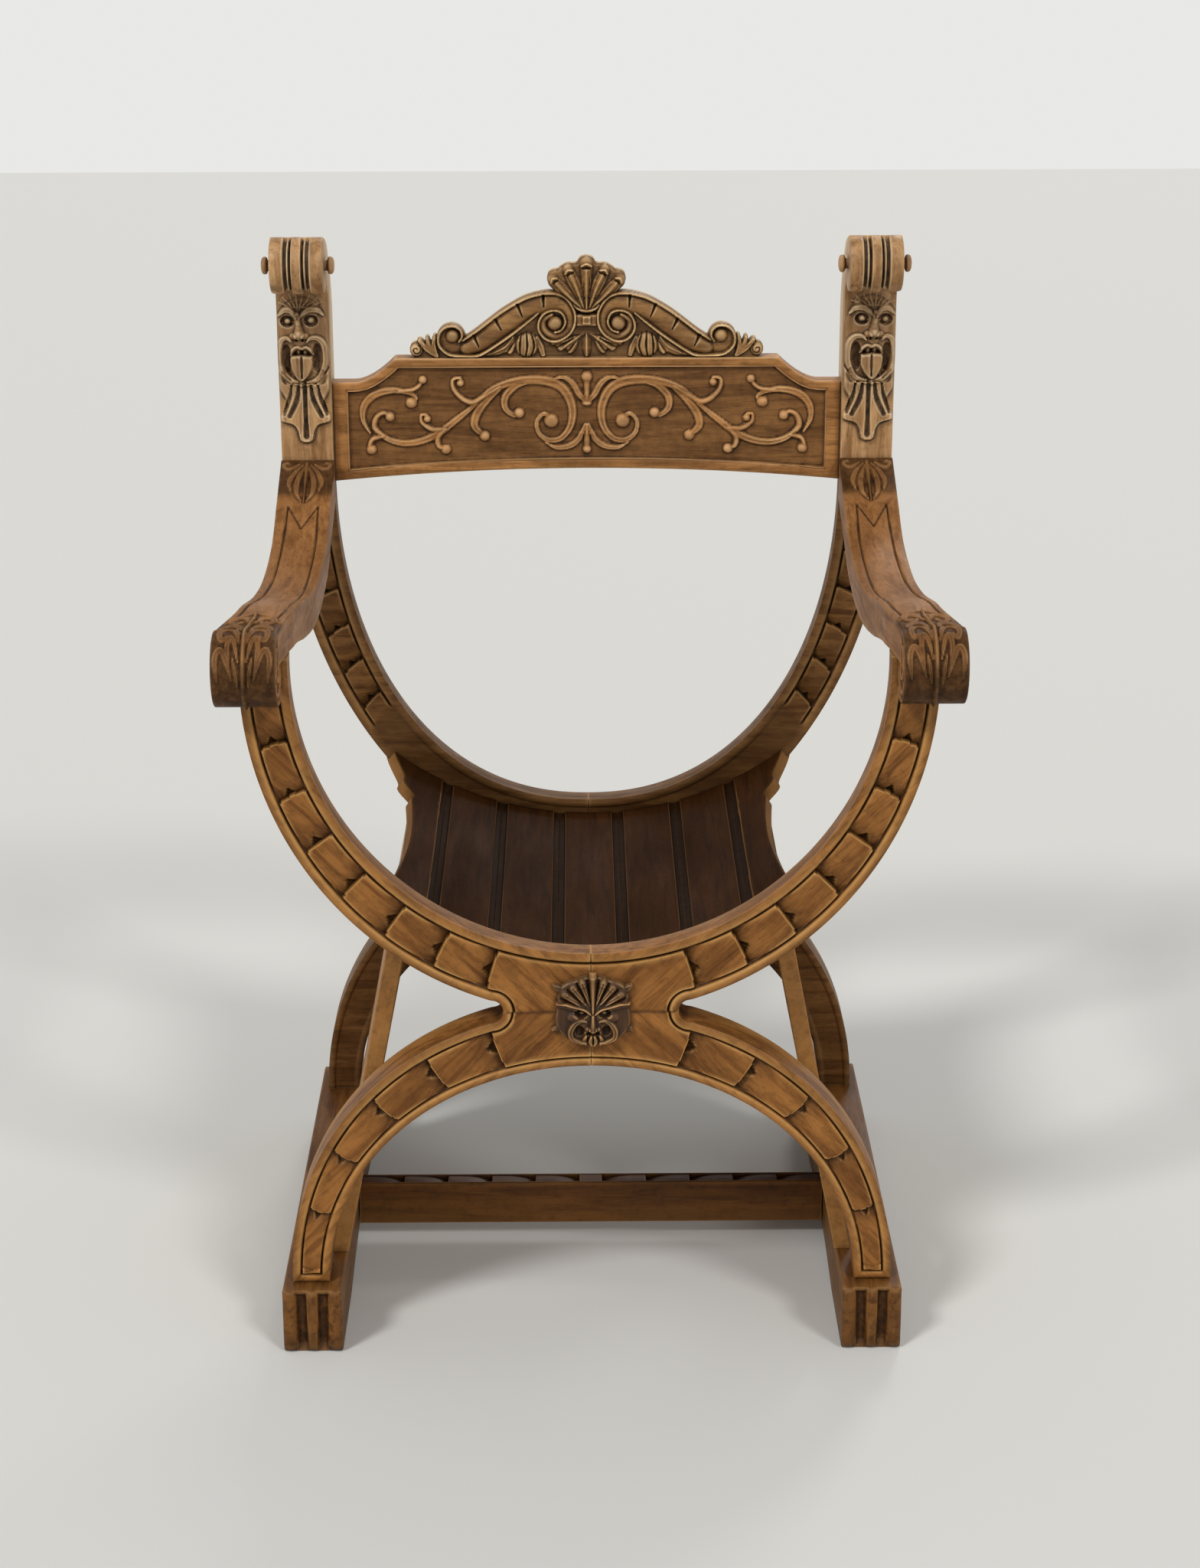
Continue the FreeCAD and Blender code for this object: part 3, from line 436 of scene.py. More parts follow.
def run_of(line: Array) -> Array:
    """Length along a polyline at each of its points."""
    return np.concatenate([[0.0], np.cumsum(np.linalg.norm(np.diff(line, axis=0), axis=1))])


def distance_to(points: Array, line: Array) -> Array:
    """Distance from each point of a plane to a polyline, all as pairs of coordinates.

    Args:
        points: The points.
        line: The polyline's corners.

    Returns:
        One distance for each point.
    """
    start, step = line[:-1], line[1:] - line[:-1]
    square = np.maximum((step ** 2).sum(axis=1), 1e-12)
    best = np.full(len(points), 1e9)
    for low in range(0, len(points), 4096):
        part = points[low:low + 4096, None, :] - start[None]
        t = np.clip((part * step).sum(axis=2) / square, 0.0, 1.0)
        gap = part - t[..., None] * step
        best[low:low + 4096] = np.sqrt((gap ** 2).sum(axis=2).min(axis=1))
    return best


# Sizes of the chair

@dataclass(frozen=True)
class ChairSizes:
    """Driving sizes in millimetres; heights from the floor, y back from the front frame's face."""
    pitch: float = 455.0
    thick: float = 45.0
    seam_z: float = 360.0
    rim_z: float = 424.0
    arch_z: float = 303.0
    inner_r: float = 281.0
    inner_height: float = 284.5
    arc_half_width: float = 327.0
    arc_half_height: float = 341.0
    arc_widest_z: float = 698.0
    arc_end_z: float = 717.0
    notch_x: float = 97.0
    leg_in: float = 262.0
    leg_out: float = 299.0
    foot_z: float = 68.0
    foot_in: float = 248.0
    foot_out: float = 310.0
    post_in: float = 270.0
    post_width: float = 55.0
    post_foot_z: float = 790.0
    rear_rim_z: float = 418.0
    rear_sink: float = 10.0
    stave_r: float = 350.0
    seat_low_z: float = 402.5

    @property
    def arc_centre_z(self) -> float:
        """Height of the front arcs' inner centre."""
        return self.rim_z + self.inner_r

    @property
    def post_mid(self) -> float:
        """Distance of a post's middle from the chair's middle."""
        return self.post_in + self.post_width / 2


SIZES = ChairSizes()


def oval(half: float, height: float, power: float, count: int = 400) -> Array:
    """Quarter of a superellipse, from its crown at x = 0 to its widest place at height 0.

    Args:
        half: Half width.
        height: Height of the crown.
        power: 2 for an ellipse, more for a squarer line.
        count: Number of points.

    Returns:
        Its points.
    """
    angle = np.linspace(0.0, math.pi / 2, count)
    across, up = np.sin(angle) ** (2.0 / power), np.cos(angle) ** (2.0 / power)
    return np.stack([half * across, height * up], axis=1)


@dataclass
class Border:
    """Edge line of a frame member: a plain joint up to rim[0], then the line that has a rim.

    The wood lies on the left of the rim's direction where wood is 1, and on its right where -1.
    """
    rim: Array
    wood: float
    joint_start: tuple[float, float] | None = None

    def inset(self, distance: float) -> Array:
        """The edge line moved into the wood; its joint part only gets shorter or longer.

        Args:
            distance: How far it moves.

        Returns:
            The moved line's points.
        """
        run = np.gradient(self.rim, axis=0)
        run /= np.maximum(np.linalg.norm(run, axis=1, keepdims=True), 1e-9)
        inward = self.wood * np.stack([-run[:, 1], run[:, 0]], axis=1)
        line = self.rim + inward * distance
        if self.joint_start is None:
            return line
        joint = np.linspace(self.joint_start, line[0], 60)[:-1]
        return np.concatenate([joint, line])


def resampled(line: Array, step: float) -> Array:
    """Points at an even step along a polyline, its ends kept.

    Args:
        line: The polyline's corners.
        step: Spacing of the points.

    Returns:
        The new points.
    """
    length = run_of(line)
    at = np.linspace(0.0, length[-1], max(2, int(round(length[-1] / step)) + 1))
    return np.stack([np.interp(at, length, line[:, k]) for k in range(line.shape[1])], axis=1)


def curve(points: Sequence[tuple[float, float]], per_span: int = 8) -> Array:
    """Smooth curve through given points of a plane.

    Args:
        points: The points, in order.
        per_span: Steps between two of them.

    Returns:
        The curve's points.
    """
    ends = np.array([points[0], *points, points[-1]], float)
    t = np.linspace(0.0, 1.0, per_span, endpoint=False)[:, None]
    spans = []
    for a, b, c, d in zip(ends, ends[1:], ends[2:], ends[3:]):
        spans.append(0.5 * (2 * b + (c - a) * t + (2 * a - 5 * b + 4 * c - d) * t ** 2
                            + (3 * b - a - 3 * c + d) * t ** 3))
    return np.concatenate(spans + [ends[-1:]])


def spiral(centre: tuple[float, float], first_r: float, last_r: float, start_degrees: float,
           turn_degrees: float, count: int = 60) -> Array:
    """Volute: a line that winds round a centre while its radius goes from first_r to last_r.

    Args:
        centre: Its middle.
        first_r: Radius at the start.
        last_r: Radius at the end.
        start_degrees: Angle of the start.
        turn_degrees: How far it winds.
        count: Number of points.

    Returns:
        Its points.
    """
    share = np.linspace(0.0, 1.0, count)
    angle = np.radians(start_degrees + turn_degrees * share)
    radius = first_r + (last_r - first_r) * share
    return np.stack([centre[0] + radius * np.cos(angle), centre[1] + radius * np.sin(angle)], axis=1)


# Relief carving as a height over a patch

class Crest(Enum):
    """Cross-section of a carved ridge."""
    ROUND = 1
    ROOF = 2


class Relief:
    """Carved height in millimetres over points of a patch with coordinates u and v."""

    def __init__(self, u: Array, v: Array) -> None:
        """Starts level.

        Args:
            u: Place across, one number for each point.
            v: Place along or up.
        """
        self.spots = np.stack([np.ravel(u), np.ravel(v)], axis=1)
        self.height = np.zeros(len(self.spots))
        self.solid = np.full(len(self.spots), -1e3)
        self.stain = np.zeros(len(self.spots))

    def near(self, line: Array, widths: Sequence[float]) -> tuple[Array, Array]:
        """Measures every point against a line of changing half width.

        Args:
            line: The line's points.
            widths: Half widths at even shares of the line's length.

        Returns:
            Distance as a share of the half width there, and the half width.
        """
        steps = np.linalg.norm(np.diff(line, axis=0), axis=1)
        run = np.concatenate([[0.0], np.cumsum(steps)]) / max(steps.sum(), 1e-9)
        wide = np.interp(run, np.linspace(0.0, 1.0, len(widths)), widths)
        reach = max(widths) + 2.0
        low, high = line.min(axis=0) - reach, line.max(axis=0) + reach
        close = np.flatnonzero(((self.spots > low) & (self.spots < high)).all(axis=1))
        ratio = np.full(len(self.spots), 9.0)
        half = np.ones(len(self.spots))
        step = line[1:] - line[:-1]
        square = np.maximum((step ** 2).sum(axis=1), 1e-12)
        for first in range(0, len(close), 4096):
            part = close[first:first + 4096]
            away = self.spots[part][:, None, :] - line[:-1][None]
            t = np.clip((away * step).sum(axis=2) / square, 0.0, 1.0)
            gap = np.sqrt(((away - t[..., None] * step) ** 2).sum(axis=2))
            here = wide[:-1] + (wide[1:] - wide[:-1]) * t
            scaled = gap / np.maximum(here, 1e-6)
            best = scaled.argmin(axis=1)
            row = np.arange(len(part))
            ratio[part] = scaled[row, best]
            half[part] = here[row, best]
        return ratio, half

    def ridge(self, line: Line, widths: Sequence[float], height: float, crest: Crest = Crest.ROUND,
              over: bool = False, groove: float = 0.0) -> None:
        """Raises a ridge along a line, or cuts a groove where the height is negative.

        Args:
            line: An array of its corners, or a list of points for a smooth curve.
            widths: Half widths along it.
            height: Height of the crest.
            crest: Cross-section.
            over: Whether the height adds to what is there, or only rises above it.
            groove: Depth of the hollow along the crest, two fifths of the half width wide.
        """
        ratio, half = self.near(line if isinstance(line, np.ndarray) else curve(line), widths)
        q = np.clip(ratio, 0.0, 1.0)
        level = height * (np.sqrt(1.0 - q ** 2) if crest is Crest.ROUND else 1.0 - q)
        level -= groove * np.exp(-(ratio / 0.4) ** 2) * (ratio < 1.0)
        if over:
            self.height += level * (ratio < 1.0)
            self.stain = np.maximum(self.stain * np.clip(1.0 - level * (ratio < 1.0) / 2.0, 0.0, 1.0),
                                    np.clip(-level / 2.6, 0.0, 0.9) * (ratio < 1.0))
        else:
            above = (ratio < 1.0) & (level > self.height)
            self.height = np.where(above, level, self.height)
            self.stain = np.where(above, 0.0, self.stain)
        self.solid = np.maximum(self.solid, (1.0 - ratio) * half)

    def nick(self, line: Line, widths: Sequence[float], depth: float) -> None:
        """Cuts a V-shaped line into what is there."""
        self.ridge(line, widths, -depth, Crest.ROOF, over=True)

    def bump(self, centre: tuple[float, float], radii: tuple[float, float], height: float,
             over: bool = True) -> None:
        """Raises a smooth oval swelling, or sinks an oval hollow where the height is negative.

        Args:
            centre: Its middle.
            radii: Its half sizes along u and v.
            height: Height or depth of the middle.
            over: Whether the height adds to what is there, or only rises above it.
        """
        q = (((self.spots - np.array(centre)) / np.array(radii)) ** 2).sum(axis=1)
        level = height * np.sqrt(np.clip(1.0 - q, 0.0, 1.0))
        raised = np.where(q < 1.0, np.maximum(self.height, level), self.height)
        self.height = self.height + level if over else raised
        self.stain = np.maximum(self.stain * np.clip(1.0 - level / 2.0, 0.0, 1.0),
                                np.clip(-level / 6.0, 0.0, 0.9))
        self.solid = np.maximum(self.solid, (1.0 - np.sqrt(q)) * min(radii))

    def patch(self, outline: Array, height: float, shoulder: float = 1.5) -> None:
        """Raises the inside of an outline to a height, with rounded shoulders.

        Args:
            outline: Corners of the outline.
            height: Height of the flat part.
            shoulder: Width of the rounding.
        """
        ring = np.concatenate([outline, outline[:1]])
        u, v = self.spots[:, 0], self.spots[:, 1]
        inside = np.zeros(len(u), bool)
        for (u0, v0), (u1, v1) in zip(ring[:-1], ring[1:]):
            if v0 == v1:
                continue
            crosses = (v0 > v) != (v1 > v)
            inside ^= crosses & (u < (u1 - u0) * (v - v0) / (v1 - v0) + u0)
        depth = distance_to(self.spots, ring)
        rise = dome(1.0 - np.clip(depth / shoulder, 0.0, 1.0))
        above = inside & (height * rise > self.height)
        self.height = np.where(above, height * rise, self.height)
        self.stain = np.where(above, 0.0, self.stain)
        self.solid = np.maximum(self.solid, np.where(inside, depth, -depth))


def plaque(solid: Callable[[Array, Array], Array], front: Callable[[Array, Array], Array],
           x_range: tuple[float, float], z_range: tuple[float, float], step: float, back_y: float,
           stain: Callable[[Array, Array], Array]) -> Shell:
    """Cuts a carved plaque out along a smooth outline.

    Args:
        solid: Distance inside the outline at points (x, z), negative outside.
        front: Y of the carved face at points (x, z).
        x_range: Lowest and highest x of the patch.
        z_range: Lowest and highest z.
        step: Spacing of the points.
        back_y: Y of the flat back.
        stain: Share of dark stain at points (x, z).

    Returns:
        A closed shell.
    """
    xs = np.arange(x_range[0] - step, x_range[1] + 1.5 * step, step)
    zs = np.arange(z_range[0] - step, z_range[1] + 1.5 * step, step)
    grid_x, grid_z = np.meshgrid(xs, zs, indexing="ij")
    to_sides = np.minimum(grid_x - x_range[0], x_range[1] - grid_x)
    to_sides = np.minimum(to_sides, np.minimum(grid_z - z_range[0], z_range[1] - grid_z))
    within = np.minimum(solid(grid_x.ravel(), grid_z.ravel()).reshape(grid_x.shape), to_sides)
    spots: list[tuple[float, float]] = []
    known: dict[tuple[int, int, int, int], int] = {}

    def spot(a: tuple[int, int], b: tuple[int, int]) -> int:
        """Number of a grid point (a equal to b) or of the outline's crossing between two.

        Args:
            a: Row and column of the first grid point.
            b: Row and column of the second.

        Returns:
            The number.
        """
        key = (*a, *b) if a <= b else (*b, *a)
        if key not in known:
            share = 0.0 if a == b else within[a] / (within[a] - within[b])
            known[key] = len(spots)
            spots.append((grid_x[a] + (grid_x[b] - grid_x[a]) * share,
                          grid_z[a] + (grid_z[b] - grid_z[a]) * share))
        return known[key]

    cells: list[list[int]] = []
    for i in range(len(xs) - 1):
        for j in range(len(zs) - 1):
            corners = [(i, j), (i + 1, j), (i + 1, j + 1), (i, j + 1)]
            held = [within[c] > 0.0 for c in corners]
            if not any(held):
                continue
            face: list[int] = []
            for k in range(4):
                here, ahead = corners[k], corners[(k + 1) % 4]
                if held[k]:
                    face.append(spot(here, here))
                if held[k] != held[(k + 1) % 4]:
                    face.append(spot(here, ahead))
            if len(face) > 2:
                cells.append(face)
    flat = np.array(spots)
    count = len(flat)
    carved = grid(flat[:, 0], front(flat[:, 0], flat[:, 1]), flat[:, 1])
    points = np.concatenate([carved, grid(flat[:, 0], back_y, flat[:, 1])])
    edges: dict[tuple[int, int], tuple[int, int]] = {}
    for face in cells:
        for a, b in zip(face, face[1:] + face[:1]):
            if (b, a) in edges:
                del edges[(b, a)]
            else:
                edges[(a, b)] = (a, b)
    faces = list(cells) + [[i + count for i in face[::-1]] for face in cells]
    faces += [[a, a + count, b + count, b] for a, b in edges]
    dark = np.concatenate([stain(flat[:, 0], flat[:, 1]), np.zeros(count)])
    return Shell(points, faces, {"stain": dark})


def begin_tree(name: str, sockets: dict[str, str]) -> tuple[bpy.types.NodeTree, Adder, dict[str, Any]]:
    """Starts a Geometry Nodes tree.

    Args:
        name: The tree's name.
        sockets: Names and kinds of its inputs besides Geometry and Material.

    Returns:
        The tree, add_node for it and its inputs by name.
    """
    tree = bpy.data.node_groups.new(name, "GeometryNodeTree")
    for label, kind in {"Geometry": "Geometry", **sockets, "Material": "Material"}.items():
        tree.interface.new_socket(label, in_out="INPUT", socket_type=f"NodeSocket{kind}")
    tree.interface.new_socket("Geometry", in_out="OUTPUT", socket_type="NodeSocketGeometry")
    add = partial(add_node, tree)
    return tree, add, {socket.name: socket for socket in add("NodeGroupInput").outputs}


def end_tree(add: Adder, shape: Any, material: Any) -> None:
    """Ends a tree with a plain mesh in its material."""
    plain = add("GeometryNodeRealizeInstances", {"Geometry": shape}).outputs[0]
    add("NodeGroupOutput", {"Geometry": add("GeometryNodeSetMaterial",
        {"Geometry": plain, "Material": material}).outputs[0]})


@dataclass
class ScaleCarving:
    """Geometry Nodes that cut a channel into a row of overlapping scales.

    Each scale starts deep at the end nearer the chair's middle, with a small chisel notch, and
    rises to a crisp rounded end that laps over the next one. Lengths are in millimetres.
    """
    count: int = 7
    deep: float = 7.4
    shallow: float = 0.8
    field: float = 0.7
    crown: float = 1.0
    bulge: float = 0.03
    notch_half: float = 0.44
    notch_length: float = 0.22
    notch_deep: float = 3.4
    seed: int = 3
    into: tuple[float, float, float] = (0.0, 1.0, 0.0)

    def tree(self) -> bpy.types.NodeTree:
        """Builds the node tree. It reads the attributes along, across and floor, and the attribute of stain
        and painted shade.

        Returns:
            The tree.
        """
        numbers = ("Count", "Deep", "Shallow", "Field", "Crown", "Bulge",
                   "Notch Half", "Notch Length", "Notch Deep")
        tree, add, known = begin_tree("overlapping_scales", {**dict.fromkeys(numbers, "Float"),
            "Seed": "Int", "Into": "Vector"})
        for name in ("along", "across", "floor", "stain"):
            known[name] = add("GeometryNodeInputNamedAttribute", {"Name": name},
                data_type="FLOAT").outputs[0]
        wire(add, known, (
            ("square", "MULTIPLY", "across", "across"),
            ("middle", "SUBTRACT", 1.0, "square"),
            ("lead", "MULTIPLY", "middle", "Bulge"),
            ("place", "SUBTRACT", "along", "lead"),
            ("number", "FLOOR", "place"),
            ("share", "FRACT", "place")))
        # Each scale a little deeper or shallower than the next, as cut by hand
        known["chance"] = add("FunctionNodeRandomValue", {"ID": known["number"], "Seed": known["Seed"],
            2: 0.8, 3: 1.2}, data_type="FLOAT").outputs[1]
        wire(add, known, (
            ("left", "SUBTRACT", 1.0, "share"),
            ("dip", "POWER", "left", 3.8),
            ("drop", "SUBTRACT", "Deep", "Shallow"),
            ("drop", "MULTIPLY", "drop", "chance"),
            ("depth", "MULTIPLY_ADD", "drop", "dip", "Shallow"),
            ("fourth", "MULTIPLY", "square", "square"),
            ("depth", "MULTIPLY_ADD", "fourth", "Crown", "depth"),
            # Rounding of the raised end
            ("tail", "RANGE", "share", 0.95, 1.0, 0.0, 0.7 * MM),
            ("depth", "ADD", "depth", "tail"),
            # Chisel notch in the low end
            ("shrink", "RANGE", "share", 0.0, "Notch Length", "Notch Half", -0.1),
            ("aside", "SUBTRACT", "across", 0.12),
            ("aside", "ABSOLUTE", "aside"),
            ("inside", "SUBTRACT", "shrink", "aside"),
            ("notch", "RANGE", "inside", 0.0, 0.12, 0.0, "Notch Deep"),
            ("depth", "ADD", "depth", "notch"),
            # Plain field before the first scale and after the last
            ("begun", "GREATER_THAN", "place", 0.0),
            ("going", "LESS_THAN", "place", "Count"),
            ("carved", "MULTIPLY", "begun", "going"),
            # The low ends and the notches darken, as stain and as painted shadow under each scale's raised
            # end
            ("low", "POWER", "left", 6.5),
            ("pit", "RANGE", "inside", -0.04, 0.08, 0.0, 1.0),
            ("low", "MAXIMUM", "low", "pit"),
            ("low", "MULTIPLY", "low", "carved"),
            ("low", "MULTIPLY", "low", "floor"),
            ("low", "MAXIMUM", "low", "stain")))
        known["depth"] = add("ShaderNodeMix", {"Factor": known["carved"], "A": known["Field"],
            "B": known["depth"]}).outputs["Result"]
        wire(add, known, (("depth", "MULTIPLY", "depth", "floor"),))
        offset = add("ShaderNodeVectorMath", {0: known["Into"], "Scale": known["depth"]},
            operation="SCALE").outputs[0]
        darkened = add("GeometryNodeStoreNamedAttribute", {"Geometry": known["Geometry"], "Name": "stain",
            "Value": known["low"]}, data_type="FLOAT", domain="POINT").outputs[0]
        cut = add("GeometryNodeSetPosition", {"Geometry": darkened, "Offset": offset}).outputs[0]
        end_tree(add, cut, known["Material"])
        return tree

    def cut(self, thing: bpy.types.Object, finish: WalnutFinish) -> None:
        """Carves an object and leaves it a plain mesh.

        Args:
            thing: The object.
            finish: Its finish.
        """
        apply_tree(thing, self.tree(), {
            "Count": float(self.count), "Deep": self.deep * MM, "Shallow": self.shallow * MM,
            "Field": self.field * MM, "Crown": self.crown * MM, "Bulge": self.bulge,
            "Notch Half": self.notch_half, "Notch Length": self.notch_length,
            "Notch Deep": self.notch_deep * MM, "Seed": self.seed, "Into": self.into,
            "Material": finish.material()})


def apply_tree(thing: bpy.types.Object, tree: bpy.types.NodeTree, values: dict[str, Any]) -> None:
    """Runs a node tree on an object and puts the plain result in its place.

    Args:
        thing: The object, whose mesh is replaced.
        tree: The Geometry Nodes tree.
        values: Its named inputs.
    """
    modifier = thing.modifiers.new("build", "NODES")
    modifier.node_group = tree
    for item in tree.interface.items_tree:
        if item.item_type == "SOCKET" and item.in_out == "INPUT" and item.name in values:
            modifier[item.identifier] = values[item.name]
    thing.update_tag()
    graph = bpy.context.evaluated_depsgraph_get()
    plain = bpy.data.meshes.new_from_object(thing.evaluated_get(graph))
    thing.modifiers.clear()
    thing.data = plain


# Frames

@dataclass
class FrameMember:
    """Sawn member of the X-frame, on the side where x is positive."""
    name: str
    inner: Border
    outer: Border
    pole_z: float
    hangs: bool
    face_y: float
    carving: ScaleCarving | None = None
    channel: tuple[float, float] = (0.2, 0.96)
    plinth: bool = False
    rim_scale: float = 1.0
    chamfer: float = 1.3
    plain_until: float = -1.0
    step: float = 1.2
    edge_steps: tuple[float, ...] = (0.0, 0.4, 1.0, 1.8, 3.2, 5.2, 7.2, 8.8, 9.7, 10.4, 11.0, 11.7, 12.6)
    middle_count: int = 16
    seed_step: int = 11
    rim_round: float = 5.0
    rim_drop: float = 1.5
    groove: tuple[float, float] = (9.3, 10.7)
    blocks: tuple[float, float] = (11.2, 12.6)
    groove_depth: float = 3.2
    joint_width: float = 1.3
    joint_depth: float = 0.7

    def _row(self, line: Array, shares: Array) -> Array:
        """Points of an edge line at shares of the turn round the member's pole.

        Args:
            line: The edge line.
            shares: Shares from 0 to 1.

        Returns:
            One point for each share.
        """
        up = (self.pole_z - line[:, 1]) if self.hangs else (line[:, 1] - self.pole_z)
        turn = np.maximum.accumulate(np.arctan2(line[:, 0], up))
        return np.stack([np.interp(shares, turn / turn[-1], line[:, k]) for k in (0, 1)], axis=1)

    def shell(self) -> Shell:
        """Skins the member and notes where its channel runs.

        Returns:
            The member on the side where x is positive.
        """
        dense = np.linspace(0.0, 1.0, 1500)
        middle = (self._row(self.inner.inset(0.0), dense) + self._row(self.outer.inset(0.0), dense)) / 2
        length = run_of(middle)
        at = np.linspace(0.0, length[-1], int(length[-1] / self.step))
        shares = np.interp(at, length, dense)
        steps = [d * self.rim_scale for d in self.edge_steps]
        near = [self._row(self.inner.inset(d), shares) for d in steps]
        far = [self._row(self.outer.inset(d), shares) for d in steps][::-1]
        between = [near[-1] + (far[0] - near[-1]) * k / (self.middle_count + 1)
                   for k in range(1, self.middle_count + 1)]
        face = np.stack(near + between + far, axis=1)
        stations, columns, _ = face.shape
        flat = face.reshape(-1, 2)
        to_inner = distance_to(flat, self.inner.rim).reshape(stations, columns)
        to_outer = distance_to(flat, self.outer.rim).reshape(stations, columns)
        rim = np.minimum(to_inner, to_outer)
        if self.plinth:
            rim = np.minimum(rim, face[..., 1] - self.pole_z)
        rim = rim / self.rim_scale
        depth = self.rim_drop * np.abs(np.clip(1.0 - rim / self.rim_round, -1.0, 1.0)) ** 2.6
        floor = np.zeros_like(rim)
        stain = np.zeros_like(rim)
        if self.carving:
            shown = smooth(self.plain_until - 0.02, self.plain_until, at / length[-1])[:, None]
            groove = smooth(*self.groove, rim) * (1.0 - smooth(*self.blocks, rim)) * shown
            depth += self.groove_depth * groove
            stain = smooth(0.25, 0.8, groove)
            floor = smooth(*self.blocks, rim) * shown
            stain = np.maximum(stain, 0.4 * (1.0 - shown) * smooth(3.0, 7.0, rim))
        depth = depth * (1.0 - floor)
        joint = 1.0 - smooth(0.0, self.joint_width, face[..., 0])
        seam = 1.0 - smooth(0.0, self.joint_width, np.abs(face[..., 1] - SIZES.seam_z))
        depth += self.joint_depth * joint
        stain = np.maximum(stain, np.maximum(joint, 0.8 * seam * (rim > 3.0)))
        thick = SIZES.thick
        fronts = grid(face[..., 0], self.face_y + depth, face[..., 1])
        wall = [(far[-1], d) for d in (5.0, thick / 2, thick - 1.3)]
        outer_back = self._row(self.outer.inset(1.3), shares)
        inner_back = self._row(self.inner.inset(self.chamfer), shares)
        wall += [(outer_back + (inner_back - outer_back) * k / 4, thick) for k in range(5)]
        wall += [(near[0], d) for d in (thick - 2.0 * self.chamfer, 12.0, 5.0)]
        rest = np.stack([grid(line[:, 0], self.face_y + d, line[:, 1]) for line, d in wall], axis=1)
        shell = loft(np.concatenate([fronts, rest], axis=1))
        span = (self.channel[1] - self.channel[0]) * length[-1]
        count = self.carving.count if self.carving else 1
        along = (at - self.channel[0] * length[-1]) / span * count
        inner_gap, outer_gap = to_inner - 12.0 * self.rim_scale, to_outer - 12.0 * self.rim_scale
        across = np.clip((inner_gap - outer_gap) / np.maximum(inner_gap + outer_gap, 4.0), -1.0, 1.0)
        layers = {"across": across, "floor": floor, "stain": stain}
        shell.layers = {name: with_plain(layer, len(wall)) for name, layer in layers.items()}
        shell.layers["along"] = with_plain(np.repeat(along[:, None], columns, axis=1), len(wall), -1.0)
        return shell

    def build(self) -> None:
        """Makes the right and the left member."""
        shell = self.shell()
        for side, sign in SIDES.items():
            finish = FRAME_RIGHT if (sign > 0) == self.hangs else FRAME_LEFT
            if self.face_y > 0.0:
                finish = REAR_WALNUT
            carve = None
            if self.carving:
                self.carving.seed += self.seed_step
                carve = partial(self.carving.cut, finish=finish)
            name = f"{self.name}_{side}"
            (shell if sign > 0 else shell.mirrored()).piece(
                f"carved_{name}", finish, "walnut_frame", [name], carve)


